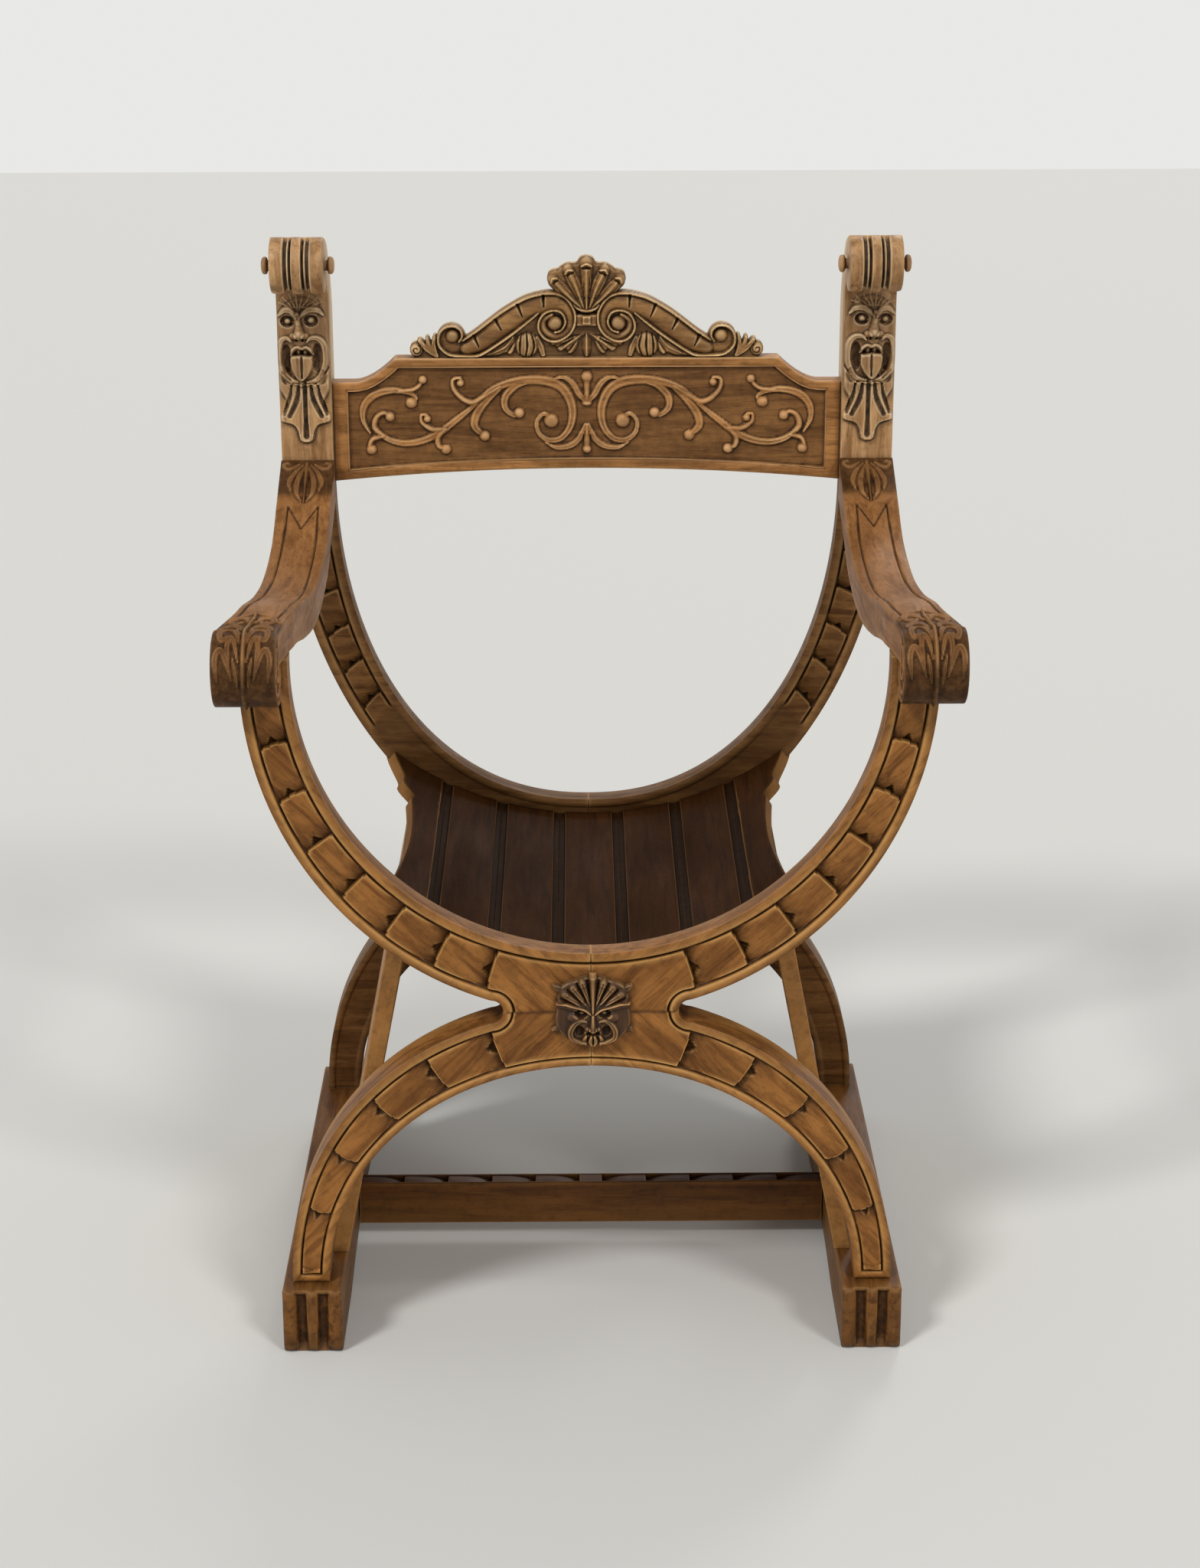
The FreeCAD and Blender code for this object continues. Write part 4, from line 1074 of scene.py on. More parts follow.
@dataclass
class Frames:
    """The front and the rear X-frame, each of two arcs over two legs."""
    sizes: ChairSizes

    def _notch(self, radius: float, rising: bool) -> Array:
        """Quarter round at the blind end of the gap between an arc and a leg.

        Args:
            radius: Its radius.
            rising: Whether it turns up.

        Returns:
            Its points.
        """
        angle = np.linspace(0.0, math.pi / 2, 24)
        lift = radius * np.sin(angle) * (1.0 if rising else -1.0)
        return np.stack([self.sizes.notch_x - radius * np.cos(angle), self.sizes.seam_z + lift], axis=1)

    def front_arc(self) -> FrameMember:
        """Front arc with seven scales, round inside and a little taller than wide outside.

        Returns:
            The member.
        """
        s = self.sizes
        end = math.acos((s.arc_centre_z - s.arc_end_z) / s.inner_r)
        angle = np.linspace(0.0, end, 400)
        inner = np.stack([s.inner_r * np.sin(angle), s.arc_centre_z - s.inner_height * np.cos(angle)], 1)
        start = math.asin(s.notch_x / s.arc_half_width)
        end = math.acos((s.arc_widest_z - s.arc_end_z) / s.arc_half_height)
        angle = np.linspace(start, end, 400)
        outer = np.stack([s.arc_half_width * np.sin(angle),
                          s.arc_widest_z - s.arc_half_height * np.cos(angle)], axis=1)
        notch = self._notch(outer[0, 1] - s.seam_z, True)
        border = Border(np.concatenate([notch[:-1], outer]), 1.0, (0.0, s.seam_z))
        return FrameMember("front_arc", Border(inner, -1.0), border, s.arc_centre_z, True, 0.0,
                           ScaleCarving(7), (0.195, 0.935), rim_scale=0.92, chamfer=10.0)

    def rear_arc(self) -> FrameMember:
        """Rear arc, plain in its low middle part, with six scales on the part that rises to the post.

        Returns:
            The member.
        """
        s = self.sizes
        inner = oval(s.post_in, s.post_foot_z - s.rear_rim_z, 2.2)
        inner[:, 1] = s.post_foot_z - inner[:, 1]
        outer = oval(s.post_in + s.post_width, s.post_foot_z - s.seam_z + s.rear_sink, 2.0)
        outer[:, 1] = s.post_foot_z - outer[:, 1]
        outer = outer[outer[:, 0] > s.notch_x]
        notch = self._notch(outer[0, 1] - s.seam_z, True)
        border = Border(np.concatenate([notch[:-1], outer]), 1.0, (0.0, s.seam_z))
        return FrameMember("rear_arc", Border(inner, -1.0), border, s.post_foot_z, True, s.pitch,
                           ScaleCarving(6), (0.525, 0.985), chamfer=10.0, plain_until=0.5)

    def leg(self, name: str, face_y: float, notch_r: float, carving: ScaleCarving | None) -> FrameMember:
        """Half of the arch under the seam.

        Args:
            name: The member's name.
            face_y: Y of its front face.
            notch_r: Radius of the notch beside the joint.
            carving: Its row of scales, or None.

        Returns:
            The member.
        """
        s = self.sizes
        inner = oval(s.leg_in, s.arch_z - s.foot_z, 2.04)
        inner[:, 1] += s.foot_z
        share = (1.0 - (s.notch_x / s.leg_out) ** 2.1) ** (1.0 / 2.1)
        outer = oval(s.leg_out, (s.seam_z - notch_r - s.foot_z) / share, 2.1)
        outer[:, 1] += s.foot_z
        outer = outer[outer[:, 0] > s.notch_x]
        notch = self._notch(notch_r, False)
        border = Border(np.concatenate([notch[:-1], outer]), -1.0, (0.0, s.seam_z))
        return FrameMember(name, Border(inner, 1.0), border, s.foot_z, False, face_y, carving,
                           (0.215, 0.965), carving is not None, rim_scale=0.8)

    def build(self) -> None:
        """Makes the eight members."""
        arc, rear = self.front_arc(), self.rear_arc()
        arc.build()
        rear.build()
        self.leg("front_leg", 0.0, arc.outer.rim[23, 1] - self.sizes.seam_z, ScaleCarving(5)).build()
        self.leg("rear_leg", self.sizes.pitch, rear.outer.rim[23, 1] - self.sizes.seam_z, None).build()


def skin(path: Array, columns: Array, middle_x: Array, round_edge: float,
         carve: Callable[[Array, Array], Array] | None = None) -> Shell:
    """Skins a piece that has one side profile all the way across.

    Args:
        path: The profile's points (y, z), running round it, without a repeated last point.
        columns: Places across, from the piece's middle, in rising order.
        middle_x: X of the piece's middle at each point of the path.
        round_edge: Radius of the worn edges at both sides.
        carve: Height of the carving at (path number, place across) grids, or None.

    Returns:
        A closed shell.
    """
    ahead = np.roll(path, -1, axis=0) - np.roll(path, 1, axis=0)
    ahead /= np.maximum(np.linalg.norm(ahead, axis=1, keepdims=True), 1e-9)
    out = np.stack([ahead[:, 1], -ahead[:, 0]], axis=1)
    area = np.sum(path[:, 0] * np.roll(path[:, 1], -1) - path[:, 1] * np.roll(path[:, 0], -1))
    out *= 1.0 if area > 0 else -1.0
    gap = np.minimum(columns - columns[0], columns[-1] - columns)
    lift = -np.repeat(worn_edge(gap, round_edge)[None], len(path), axis=0)
    if carve:
        number, across = np.meshgrid(np.arange(len(path)), columns, indexing="ij")
        lift = lift + carve(number, across)
    y = path[:, :1] + out[:, :1] * lift
    z = path[:, 1:] + out[:, 1:] * lift
    x = middle_x[:, None] + columns[None]
    return loft(grid(x, y, z).transpose(1, 0, 2))


def arc_line(centre: tuple[float, float], radius: float, first: float, last: float, step: float) -> Array:
    """Points of a circular arc (y, z) between two angles in degrees, at a step in millimetres.

    Args:
        centre: Its centre (y, z).
        radius: Its radius.
        first: First angle.
        last: Last angle.
        step: Spacing of the points.

    Returns:
        Its points.
    """
    count = max(3, int(abs(math.radians(last - first)) * radius / step))
    angle = np.radians(np.linspace(first, last, count))
    return np.stack([centre[0] + radius * np.cos(angle), centre[1] + radius * np.sin(angle)], axis=1)


def with_plain(layer: Array, plain: int, fill: float = 0.0) -> Array:
    """Values of a carved face, as stations by columns, with one value for the plain columns after it."""
    return np.concatenate([layer, np.full((len(layer), plain), fill)], axis=1).ravel()


def spread(half: float, edge: Sequence[float], inner_step: float) -> Array:
    """Columns across a piece: close together at both edges and even between.

    Args:
        half: Half width of the piece.
        edge: Distances of the close columns from the edge.
        inner_step: Spacing of the others.

    Returns:
        Places across, in rising order.
    """
    side = half - np.array(edge)
    middle = np.linspace(-side[-1], side[-1], max(3, int(2 * side[-1] / inner_step)))[1:-1]
    return np.concatenate([-side, middle, side[::-1]])


@dataclass
class Feet:
    """Runners from front to back, with an upright fluted end at each frame."""
    height: float = 68.0
    width: float = 59.0
    front_y: float = -22.0
    rear_y: float = 522.0
    pad: float = 120.0
    lift: float = 12.0
    toe_r: float = 9.0
    brow_r: float = 5.0
    bulge: float = 2.0
    flute: float = 10.7
    flute_x: float = 11.2
    flute_depth: float = 6.0

    def _end(self) -> Array:
        """Side profile of the front end, from the floor up to the top.

        Returns:
            Points (y, z).
        """
        toe = arc_line((self.front_y + self.toe_r, self.toe_r), self.toe_r, 262.0, 186.0, 1.2)
        brow = arc_line((self.front_y + self.bulge + self.brow_r, self.height - self.brow_r),
                        self.brow_r, 174.0, 90.0, 1.2)
        face = curve([tuple(toe[-1]), (self.front_y, self.height * 0.42), tuple(brow[0])], 16)
        return np.concatenate([toe[:-1], face, brow[1:]])

    def build(self) -> None:
        """Makes both feet."""
        end = resampled(self._end(), 1.3)
        middle = (self.front_y + self.rear_y) / 2
        rear_end = end[::-1] * np.array([-1.0, 1.0]) + np.array([2 * middle, 0.0])
        half_run = (self.rear_y - self.front_y) / 2 - self.pad
        sole = np.linspace(rear_end[-1, 0], end[0, 0], 42)
        arch = self.lift * np.clip(1.0 - ((sole - middle) / half_run) ** 2, 0.0, 1.0)
        top = resampled(np.array([tuple(end[-1]), tuple(rear_end[0])]), 12.0)
        path = np.concatenate([end, top[1:-1], rear_end, np.stack([sole, arch], axis=1)[1:-1]])
        columns = spread(self.width / 2, (0.0, 0.4, 1.0, 1.8, 3.0), 1.1)

        def carve(number: Array, across: Array) -> Array:
            """Two flutes down each end; the rib between them narrows downwards.

            Args:
                number: Path numbers.
                across: Places across.

            Returns:
                Height of the carving, 0 or less.
            """
            y, z = path[number, 0], path[number, 1]
            ends = 1.0 - smooth(self.front_y + 2.5, self.front_y + 5.5, middle - np.abs(y - middle))
            lean = self.flute_x - 1.6 * (1.0 - z / self.height)
            q = np.abs(np.abs(across) - lean) / (self.flute / 2)
            flutes = dome(q)
            rib = np.abs(np.abs(across) - (self.flute_x * 2 + 0.6) * (np.abs(across) > self.flute_x)) / 6.2
            return -ends * (self.flute_depth * flutes + 2.4 * np.clip(rib, 0.0, 1.1) ** 2)

        shell = skin(path, columns, np.full(len(path), (SIZES.foot_in + SIZES.foot_out) / 2), 2.0, carve)
        cut = -carve(*np.meshgrid(np.arange(len(path)), columns, indexing="ij"))
        # Darker all over and more so near the floor, as stain and as painted shade, and darkest deep in the
        # flutes
        low = (0.42 + 0.3 * (1.0 - smooth(3.0, 30.0, path[:, 1])))[None]
        shell.layers = {"stain": np.maximum(0.85 * smooth(2.6, 5.6, cut.T), low).ravel()}
        shell.pair("fluted_foot", BASE_WALNUT, "walnut_frame", "foot")


@dataclass
class SideBoards:
    """Plain boards that lean in from the runners to the underside of the seat."""
    foot_x: float = 248.0
    foot_z: float = 68.0
    thick: float = 17.0
    lean: float = 0.195
    slope_height: float = 372.0
    front_y: float = 65.0
    rear_y: float = 435.0
    under_seat_r: float = 363.5

    def build(self) -> None:
        """Makes both boards."""
        centre_z = SIZES.seat_low_z + SIZES.stave_r
        share = np.linspace(0.0, 1.0, 40)[:, None]
        low = self.foot_x + np.array([0.0, 1.2, self.thick - 1.2, self.thick])
        top = low - self.lean * self.slope_height
        under = centre_z - np.sqrt(self.under_seat_r ** 2 - top ** 2)
        x = low + (top - low) * share
        z = self.foot_z + (under - self.foot_z) * share
        y = self.front_y + np.array([1.2, 0.0, 0.0, 1.2])
        back = grid(x, self.front_y + self.rear_y - y, z)[:, ::-1]
        shell = loft(np.concatenate([grid(x, y, z), back], axis=1))
        shell.pair("leaning_board", BASE_WALNUT, "walnut_frame", "side_board")


def mirror_line(line: Array) -> Array:
    """The same line on the other side of u = 0."""
    return line * np.array([-1.0, 1.0])


# Arms

@dataclass
class Arms:
    """Arms that dip, spread at the front and end in a scroll, carved with a leaf at both ends."""
    top: tuple[tuple[float, float], ...] = (
        (455.0, 803.0), (392.6, 771.5), (330.2, 742.1), (243.8, 729.5), (157.4, 735.0), (71.0, 750.0),
        (15.0, 753.0), (-22.0, 751.0))
    thick: float = 35.0
    rear_thick: float = 45.0
    half: float = 28.5
    roll_half: float = 29.5
    roll_r: float = 35.5
    roll_y: float = -22.0
    roll_z: float = 715.5
    under_z: float = 716.5
    roll_x: float = 316.0
    roll_start: float = 500.0
    leaf_end: float = 610.0
    step: float = 1.2

    def _middle(self, y: Array) -> Array:
        """Distance of the arm's middle from the chair's middle, by y."""
        return np.interp(y, (-24.0, 5.0, 40.0, 90.0, 175.0, 335.0, 455.0),
                         (self.roll_x, 310.0, 304.5, 301.5, 299.5, 298.0, SIZES.post_mid))

    def _half(self, y: Array) -> Array:
        """Half width of the arm, by y."""
        return np.interp(y, (-24.0, -5.0, 20.0, 60.0, 175.0, 455.0),
                         (self.roll_half, 28.0, 26.5, 26.5, 28.0, self.half))

    def _leaves(self, relief: Relief) -> None:
        """Carves the arm's top: u across, v along from the post to the end of the roll.

        Args:
            relief: The patch that is carved.
        """
        height = 2.6
        # Rear leaf, hanging from the post
        relief.ridge(np.array([(0, 8), (0, 70)]), (1.6, 2, 1.2), height + 1.2)
        for side in (-1, 1):
            for points, widths in (
                    (((1.5, 12), (6, 24), (9, 40), (8, 56), (3, 68)), (1.2, 2.8, 3.4, 2.6, 0.8)),
                    (((4, 10), (12, 22), (17, 38), (15, 52)), (1.2, 2.8, 3.2, 1.2)),
                    (((8, 9), (17, 16), (23, 14), (24, 8), (20, 7)), (1.4, 2.6, 2.4, 2, 1.6))):
                line = curve([(side * u, v) for u, v in points])
                relief.ridge(line, widths, height, groove=1)
        # Lines cut beside the plain middle, which start in a V
        edge = [(15.5, 76), (16.5, 108), (17, 163), (17.5, 234), (18.5, 320), (19.5, 400), (19, 458)]
        for side in (-1, 1):
            relief.nick([(side * u, v) for u, v in edge], (1.5, 1.7, 1.5), 2.2)
            relief.nick(np.array([(side * 15.5, 76), (0, 110)]), (1.2, 1.5), 2)
        # Front leaf over the roll, its stem a long bead
        relief.ridge([(4, 444), (0.5, 470), (-0.5, 520), (0, 596)], (1.2, 2, 2.2, 2.4, 2.2), height + 1)
        relief.ridge([(2, 446), (9, 448), (17, 458), (24, 466)], (0.8, 1.4, 1.4, 0.8), 1.6)
        relief.ridge([(2, 446), (-8, 450), (-17, 462), (-26, 476)], (0.8, 1.4, 1.4, 0.8), 1.6)
        for side in (-1, 1):
            for points, widths in (
                    (((3, 474), (8, 462), (16, 462), (20, 472), (14, 480), (9, 474)),
                        (1, 2, 2.4, 2.2, 1.8, 1.6)),
                    (((3.5, 498), (8, 486), (15, 484), (22, 490), (25, 500)), (1, 2.2, 2.6, 2.2, 1.2)),
                    (((3.5, 520), (8, 502), (16, 498), (22, 507), (20, 518), (15, 514)),
                        (1, 2, 2.6, 2.4, 2, 1.6)),
                    (((4, 540), (8, 520), (12, 514), (14, 526), (12, 548)), (0.8, 1.6, 2, 1.8, 0.8)),
                    (((10, 556), (16, 536), (21, 528), (25, 538), (23, 558)), (0.8, 1.8, 2.2, 2, 0.8)),
                    (((5, 562), (7, 546), (9, 536)), (0.8, 1.6, 0.8))):
                relief.ridge([(side * u, v) for u, v in points], [w * 1.5 for w in widths], height,
                    groove=1.1)

    def _stain(self, relief: Relief, along: Array) -> Array:
        """Dark stain round the leaves, in the cut lines and down the front of the roll.

        Args:
            relief: The carved patch.
            along: Length along the arm at its points.

        Returns:
            Share of stain at the same points.
        """
        ground = 1.0 - smooth(0.6, 2.2, relief.height.reshape(along.shape))
        before_end = 1.0 - smooth(628.0, 640.0, along)
        leafy = np.maximum(smooth(462.0, 482.0, along) * before_end, 1.0 - smooth(50.0, 66.0, along))
        lower = 0.92 * smooth(520.0, 560.0, along) * before_end
        dark = np.maximum(leafy * (0.36 + 0.5 * ground), lower)
        return np.maximum(dark, relief.stain.reshape(along.shape))

    def _body(self) -> Shell:
        """The arm between the post and the roll.

        Returns:
            A closed shell.
        """
        line = resampled(curve(self.top, 16), self.step)
        run = run_of(line)
        y, z = line[:, 0], line[:, 1]
        thick = np.interp(
            y, (-24.0, 0.0, 45.0, 110.0, 320.0, 392.0, 455.0),
            (34.0, 36.0, 36.0, self.thick + 3.0, self.thick, self.thick + 2.0, self.rear_thick))
        bottom = np.where(y < 46.0, np.maximum(z - thick, self.under_z), z - thick)
        shares = spread(1.0, (0.0, 0.008, 0.025, 0.06, 0.11), 0.045)
        half, middle = self._half(y), self._middle(y)
        across = shares[None] * half[:, None]
        along = np.repeat(run[:, None], len(shares), axis=1)
        relief = Relief(across, along)
        self._leaves(relief)
        gap = half[:, None] - np.abs(across)
        lift = relief.height.reshape(across.shape) - worn_edge(gap, 1.6)
        slope = np.gradient(line, axis=0)
        slope /= np.linalg.norm(slope, axis=1, keepdims=True)
        out = np.stack([slope[:, 1], -slope[:, 0]], axis=1)
        out *= np.sign(out[:, 1:])
        top = grid(middle[:, None] + across, y[:, None] + out[:, :1] * lift, z[:, None] + out[:, 1:] * lift)
        levels = (0.2, 0.5, 0.8, 0.96)
        ring = [*((1.0, d) for d in levels), *((s, 1.0) for s in (0.94, 0.5, 0.0, -0.5, -0.94)),
                *((-1.0, d) for d in levels[::-1])]
        rest = np.stack([grid(middle + half * s, y, z + (bottom - z) * d) for s, d in ring], axis=1)
        shell = loft(np.concatenate([top, rest], axis=1))
        shell.layers = {"stain": with_plain(self._stain(relief, along), len(ring))}
        return shell

    def _roll(self) -> Shell:
        """The scroll at the front, with a volute carved on both its sides.

        Returns:
            A closed shell.
        """
        around = np.linspace(90.0, 450.0, 190)[:-1]
        angle = np.radians(around)
        along = self.roll_start + self.roll_r * np.radians(around - 90.0)
        columns = spread(self.roll_half, (0.0, 0.5, 1.2, 2.2), 1.1)
        grid_u, grid_s = np.meshgrid(columns, along, indexing="ij")
        relief = Relief(grid_u, grid_s)
        self._leaves(relief)
        gap = self.roll_half - np.abs(grid_u)
        leaf = relief.height.reshape(grid_u.shape) * (grid_s < self.leaf_end)
        radius = self.roll_r + leaf - worn_edge(gap, 1.4)
        round_face = grid(self.roll_x + grid_u, self.roll_y + radius * np.cos(angle),
                          self.roll_z + radius * np.sin(angle))
        faces = np.linspace(self.roll_r - 2.0, 0.4, 30)
        disc_r, disc_a = np.meshgrid(faces, angle, indexing="ij")
        carved = Relief(disc_r * np.cos(disc_a), disc_r * np.sin(disc_a))
        volute = spiral((0.0, 0.0), self.roll_r - 4.0, 6.0, 90.0, 700.0, 160)
        carved.ridge(volute, (3.6, 3.0, 2.4, 2.0), 2.4)
        carved.bump((0.0, 0.0), (5.6, 5.6), 3.0, over=False)
        depth = (2.4 - carved.height.reshape(disc_r.shape)) * smooth(0.0, 2.0, self.roll_r - 2.0 - disc_r)
        disc = self.roll_y + disc_r * np.cos(disc_a), self.roll_z + disc_r * np.sin(disc_a)
        right = grid(self.roll_x + self.roll_half - depth, *disc)
        left = grid(self.roll_x - self.roll_half + depth, *disc)[::-1]
        points = np.concatenate([left, round_face, right])
        low = (points[..., 1] > 0.0) & (points[..., 2] < self.under_z)
        points[..., 2] = np.where(low, self.under_z, points[..., 2])
        shell = loft(points)
        ends = np.zeros((len(left), len(around)))
        shell.layers = {"stain": np.concatenate([ends, self._stain(relief, grid_s), ends]).ravel()}
        return shell

    def build(self) -> None:
        """Makes both arms."""
        self._body().joined(self._roll()).pair("scrolled_arm", ARM_WALNUT, "walnut_arm", "arm")


# Posts

@dataclass
class Posts:
    """Rear uprights, each with a ribbed roll, a grotesque mask and a fluted lambrequin."""
    face_y: float = 455.0
    back_y: float = 500.0
    roll_y: float = 420.0
    roll_z: float = 1015.0
    roll_r: float = 29.0
    neck_z: float = 972.0
    back_z: float = 952.0
    step: float = 0.9
    rib_half: float = 4.6
    bead_u: float = 8.6
    bead_half: float = 1.5
    drum_u: float = 20.0
    drum_half: float = 7.6
    drum_from: float = 13.0
    groove_depth: float = 6.0
    roll_fade: float = 8.0

    def _mask(self, relief: Relief) -> None:
        """Carves the mask of a frowning imp with its tongue out; u grows outwards.

        Args:
            relief: The patch that is carved.
        """
        relief.bump((1, 926), (30, 52), 5)
        relief.bump((4, 966), (22, 18), 3)
        relief.bump((2, 902), (19, 24), -3)
        # Brows, and tufts of hair over them
        for points in (
                ((-22, 958), (-16, 963.5), (-8, 964.5), (-0.5, 960), (2.5, 956.5)),
                ((26, 957), (19, 963.5), (12.5, 963.5), (8.5, 959.5), (6.5, 956.5))):
            relief.ridge(points, (1.2, 2.6, 3.4, 2.8, 1.4), 6, over=True, groove=1.2)
        for u, v in (
                (-20, 971), (-15, 976), (-8, 979.5), (-1, 981.5), (6, 982), (13, 981), (20, 977),
                (25, 971)):
            relief.ridge(np.array([(4 + (u - 4) * 0.35, 966.5), (u, v)]), (1.5, 1.7, 0.9), 2, Crest.ROOF,
                over=True)
        # Eyes in deep sockets
        for u, v in ((-8.5, 952.3), (16, 951.6)):
            relief.bump((u, v), (7.6, 6.6), -8)
            relief.bump((u, v), (4.2, 3.6), 8)
            relief.ridge([(u - 5.5, v - 1), (u - 2.5, v + 3.4), (u + 2.5, v + 3.4), (u + 5.5, v - 1)],
                (0.8, 1.2, 0.8), 1.6, over=True)
            relief.ridge([(u - 5.5, v - 1.5), (u, v - 4.8), (u + 5.5, v - 1.5)], (0.8, 1.2, 0.8), 1.4,
                over=True)
        # Nose
        relief.ridge([(5, 960), (4.5, 950), (4, 938)], (2.4, 3, 5.6), 7, over=True)
        relief.bump((4, 938), (6.4, 5.2), 5)
        for u in (-2.2, 10.2):
            relief.bump((u, 936.4), (4.2, 3.8), 4.5)
        for u in (0.8, 7.2):
            relief.bump((u, 932.6), (1.5, 2), -5)
        # Cheek folds that run round to the chin
        relief.ridge([(-4, 931), (-9, 934.5), (-16, 934), (-21.5, 928), (-23.5, 917), (-22, 905),
            (-16, 893), (-8, 887.5), (2, 885)], (1.4, 2.8, 3.4, 3.6, 3.4, 3, 2.8, 2.6, 2.6), 7, over=True,
            groove=1.6)
        relief.ridge([(12, 931), (17, 934.5), (22.5, 932), (26, 922), (25.5, 909), (21, 897), (13, 889),
            (2, 885)], (1.4, 2.8, 3.4, 3.6, 3.4, 3, 2.8, 2.6), 7, over=True, groove=1.6)
        for u, v in ((-14, 913), (18, 912)):
            relief.bump((u, v), (6, 16), -6)
        # Mouth with two teeth and a long tongue
        relief.ridge([(-10, 916), (-7.5, 921.5), (-2.5, 924.5), (2, 923), (6.5, 924.5), (11.5, 921.5),
            (14, 915)], (1, 1.8, 2.2, 2, 2.2, 1.8, 1), 4, over=True)
        relief.bump((2, 915.5), (10.5, 6), -7)
        for u in (-1.2, 5.4):
            relief.bump((u, 917.8), (2.5, 3.4), 5.5)
        tongue = curve([(-8.5, 914.5), (-9.3, 906), (-6, 897), (-1, 890.5), (3, 888), (7.5, 891),
            (11.5, 898), (13.8, 906), (13, 914.5), (2.5, 916)])
        relief.patch(tongue, 8, 2)
        relief.ridge(tongue[:int(len(tongue) * 0.9)], (1.4, 1.5, 1.4), 1.6, over=True)
        relief.nick(np.array([(2.3, 914), (2.3, 904), (2.4, 892)]), (1.6, 2, 1), 4)

    def _lambrequin(self, relief: Relief) -> None:
        """Carves the fluted cloth under the mask.

        Args:
            relief: The patch that is carved.
        """
        left = curve([(-27, 903), (-27, 884), (-19, 866), (-22, 856), (-27.2, 850), (-25, 845.5),
            (-14, 842), (-9, 836), (-7, 827), (-4.5, 823.6), (0, 822.8)])
        right = mirror_line(left)[::-1]
        relief.patch(np.concatenate([left, right[1:], [(12, 886), (-12, 886)]]), 5, 2.2)
        rim = np.concatenate([left, right[1:]])
        relief.ridge(rim, (1.2, 1.5, 1.2), 1.4, over=True)
        relief.ridge(np.array([(0, 886), (0, 829)]), (2.2, 3.4, 3.6, 3), -4, over=True)
        for side in (-1, 1):
            for points, widths in (
                    (((6.5, 884), (9, 868), (17, 851)), (1.6, 3, 2.6)),
                    (((14, 884), (16, 872), (22.5, 853)), (1.2, 2.4, 1.6))):
                relief.ridge([(side * u, v) for u, v in points], widths, -3.4, over=True)
        for u in (-18.5, 18.5):
            relief.bump((u, 893), (6, 9), -3)

    def _ribs(self, across: Array, height: Array) -> Array:
        """Grooves and ribs round the roll.

        Args:
            across: Places across the post.
            height: How much of the ribs shows, from 0 to 1.

        Returns:
            Height of the carving.
        """
        u = np.abs(across)
        groove = smooth(self.rib_half, 6.0, u) * (1.0 - smooth(12.4, 13.8, u))
        bead = dome((u - self.bead_u) / self.bead_half)
        middle = dome(u / self.rib_half) * 1.4 - 1.0
        drum = (dome((u - self.drum_u) / self.drum_half) * 1.8 - 1.8) * (u > self.drum_from)
        ribs = (3.0 * bead - self.groove_depth) * groove + middle * (u < self.rib_half) + drum
        return ribs * height

    def shell(self) -> Shell:
        """Skins a post that has u growing with x.

        Returns:
            The post, its middle at x = 0.
        """
        slant = math.sqrt(0.5) * self.roll_r
        neck = curve([
            (self.face_y, self.neck_z), (self.face_y - 2.0, self.neck_z + 7.0),
            (self.face_y - 7.0, self.neck_z + 15.0), (self.roll_y + slant, self.roll_z - slant)], 10)
        front = resampled(np.concatenate([[(self.face_y, SIZES.post_foot_z)], neck]), self.step)
        roll = arc_line((self.roll_y, self.roll_z), self.roll_r, -45.0, -270.0, self.step)
        back = curve([
            (self.roll_y, self.roll_z + self.roll_r), (455.0, 1032.0), (485.0, 998.0), (497.0, 972.0),
            (self.back_y, self.back_z)], 10)
        back = resampled(back, 3.0)
        foot = (self.back_y, SIZES.post_foot_z)
        rear = resampled(np.array([(self.back_y, self.back_z), foot]), 8.0)
        sole = resampled(np.array([foot, (self.face_y, SIZES.post_foot_z)]), 8.0)
        path = np.concatenate([front, roll[1:], back[1:], rear[1:], sole[1:-1]])
        columns = spread(SIZES.post_width / 2, (0.0, 0.35, 0.8, 1.5), self.step)
        face_count, roll_end = len(front), len(front) + len(roll) - 1
        dark: dict[str, Array] = {}

        def carve(number: Array, across: Array) -> Array:
            """Mask and lambrequin on the front, ribs on the roll.

            Args:
                number: Path numbers.
                across: Places across.

            Returns:
                Height of the carving.
            """
            relief = Relief(across, path[number, 1])
            self._mask(relief)
            below = Relief(across, path[number, 1])
            self._lambrequin(below)
            edge = smooth(0.0, 3.0, SIZES.post_width / 2 - np.abs(across))
            height = relief.height.reshape(across.shape) * smooth(878.0, 890.0, path[number, 1])
            height = height + below.height.reshape(across.shape)
            shown = (number < face_count) * (1.0 - smooth(976.0, 988.0, path[number, 1]))
            height = height * shown
            stain = np.maximum(relief.stain, below.stain).reshape(across.shape)
            # Old stain lies all over the carved part
            stain = np.maximum(stain, 0.3 * smooth(850.0, 880.0, path[number, 1])) * shown
            groove = smooth(self.rib_half, 5.6, np.abs(across)) * (1.0 - smooth(12.8, 13.8, np.abs(across)))
            groove *= np.abs(np.abs(across) - self.bead_u) > 1.4
            shown = ((number >= face_count) & (number < roll_end)) * 1.0
            ends = np.minimum(number - face_count, roll_end - number) * self.step
            shown = shown * smooth(0.0, self.roll_fade, ends)
            dark["stain"] = np.maximum(stain, 0.9 * groove * shown)
            return height * (0.35 + 0.65 * edge) + self._ribs(across, shown)

        shell = skin(path, columns, np.full(len(path), 0.0), 1.2, carve)
        shell.layers = {"stain": dark["stain"].T.ravel()}
        return shell

    def build(self) -> None:
        """Makes both posts and the turned buttons on their rolls."""
        shell = self.shell()
        shell.points[:, 0] += SIZES.post_mid
        shell.pair("masked_post", POST_WALNUT, "walnut_carved", "post", sharp_degrees=60.0)
        self._buttons()

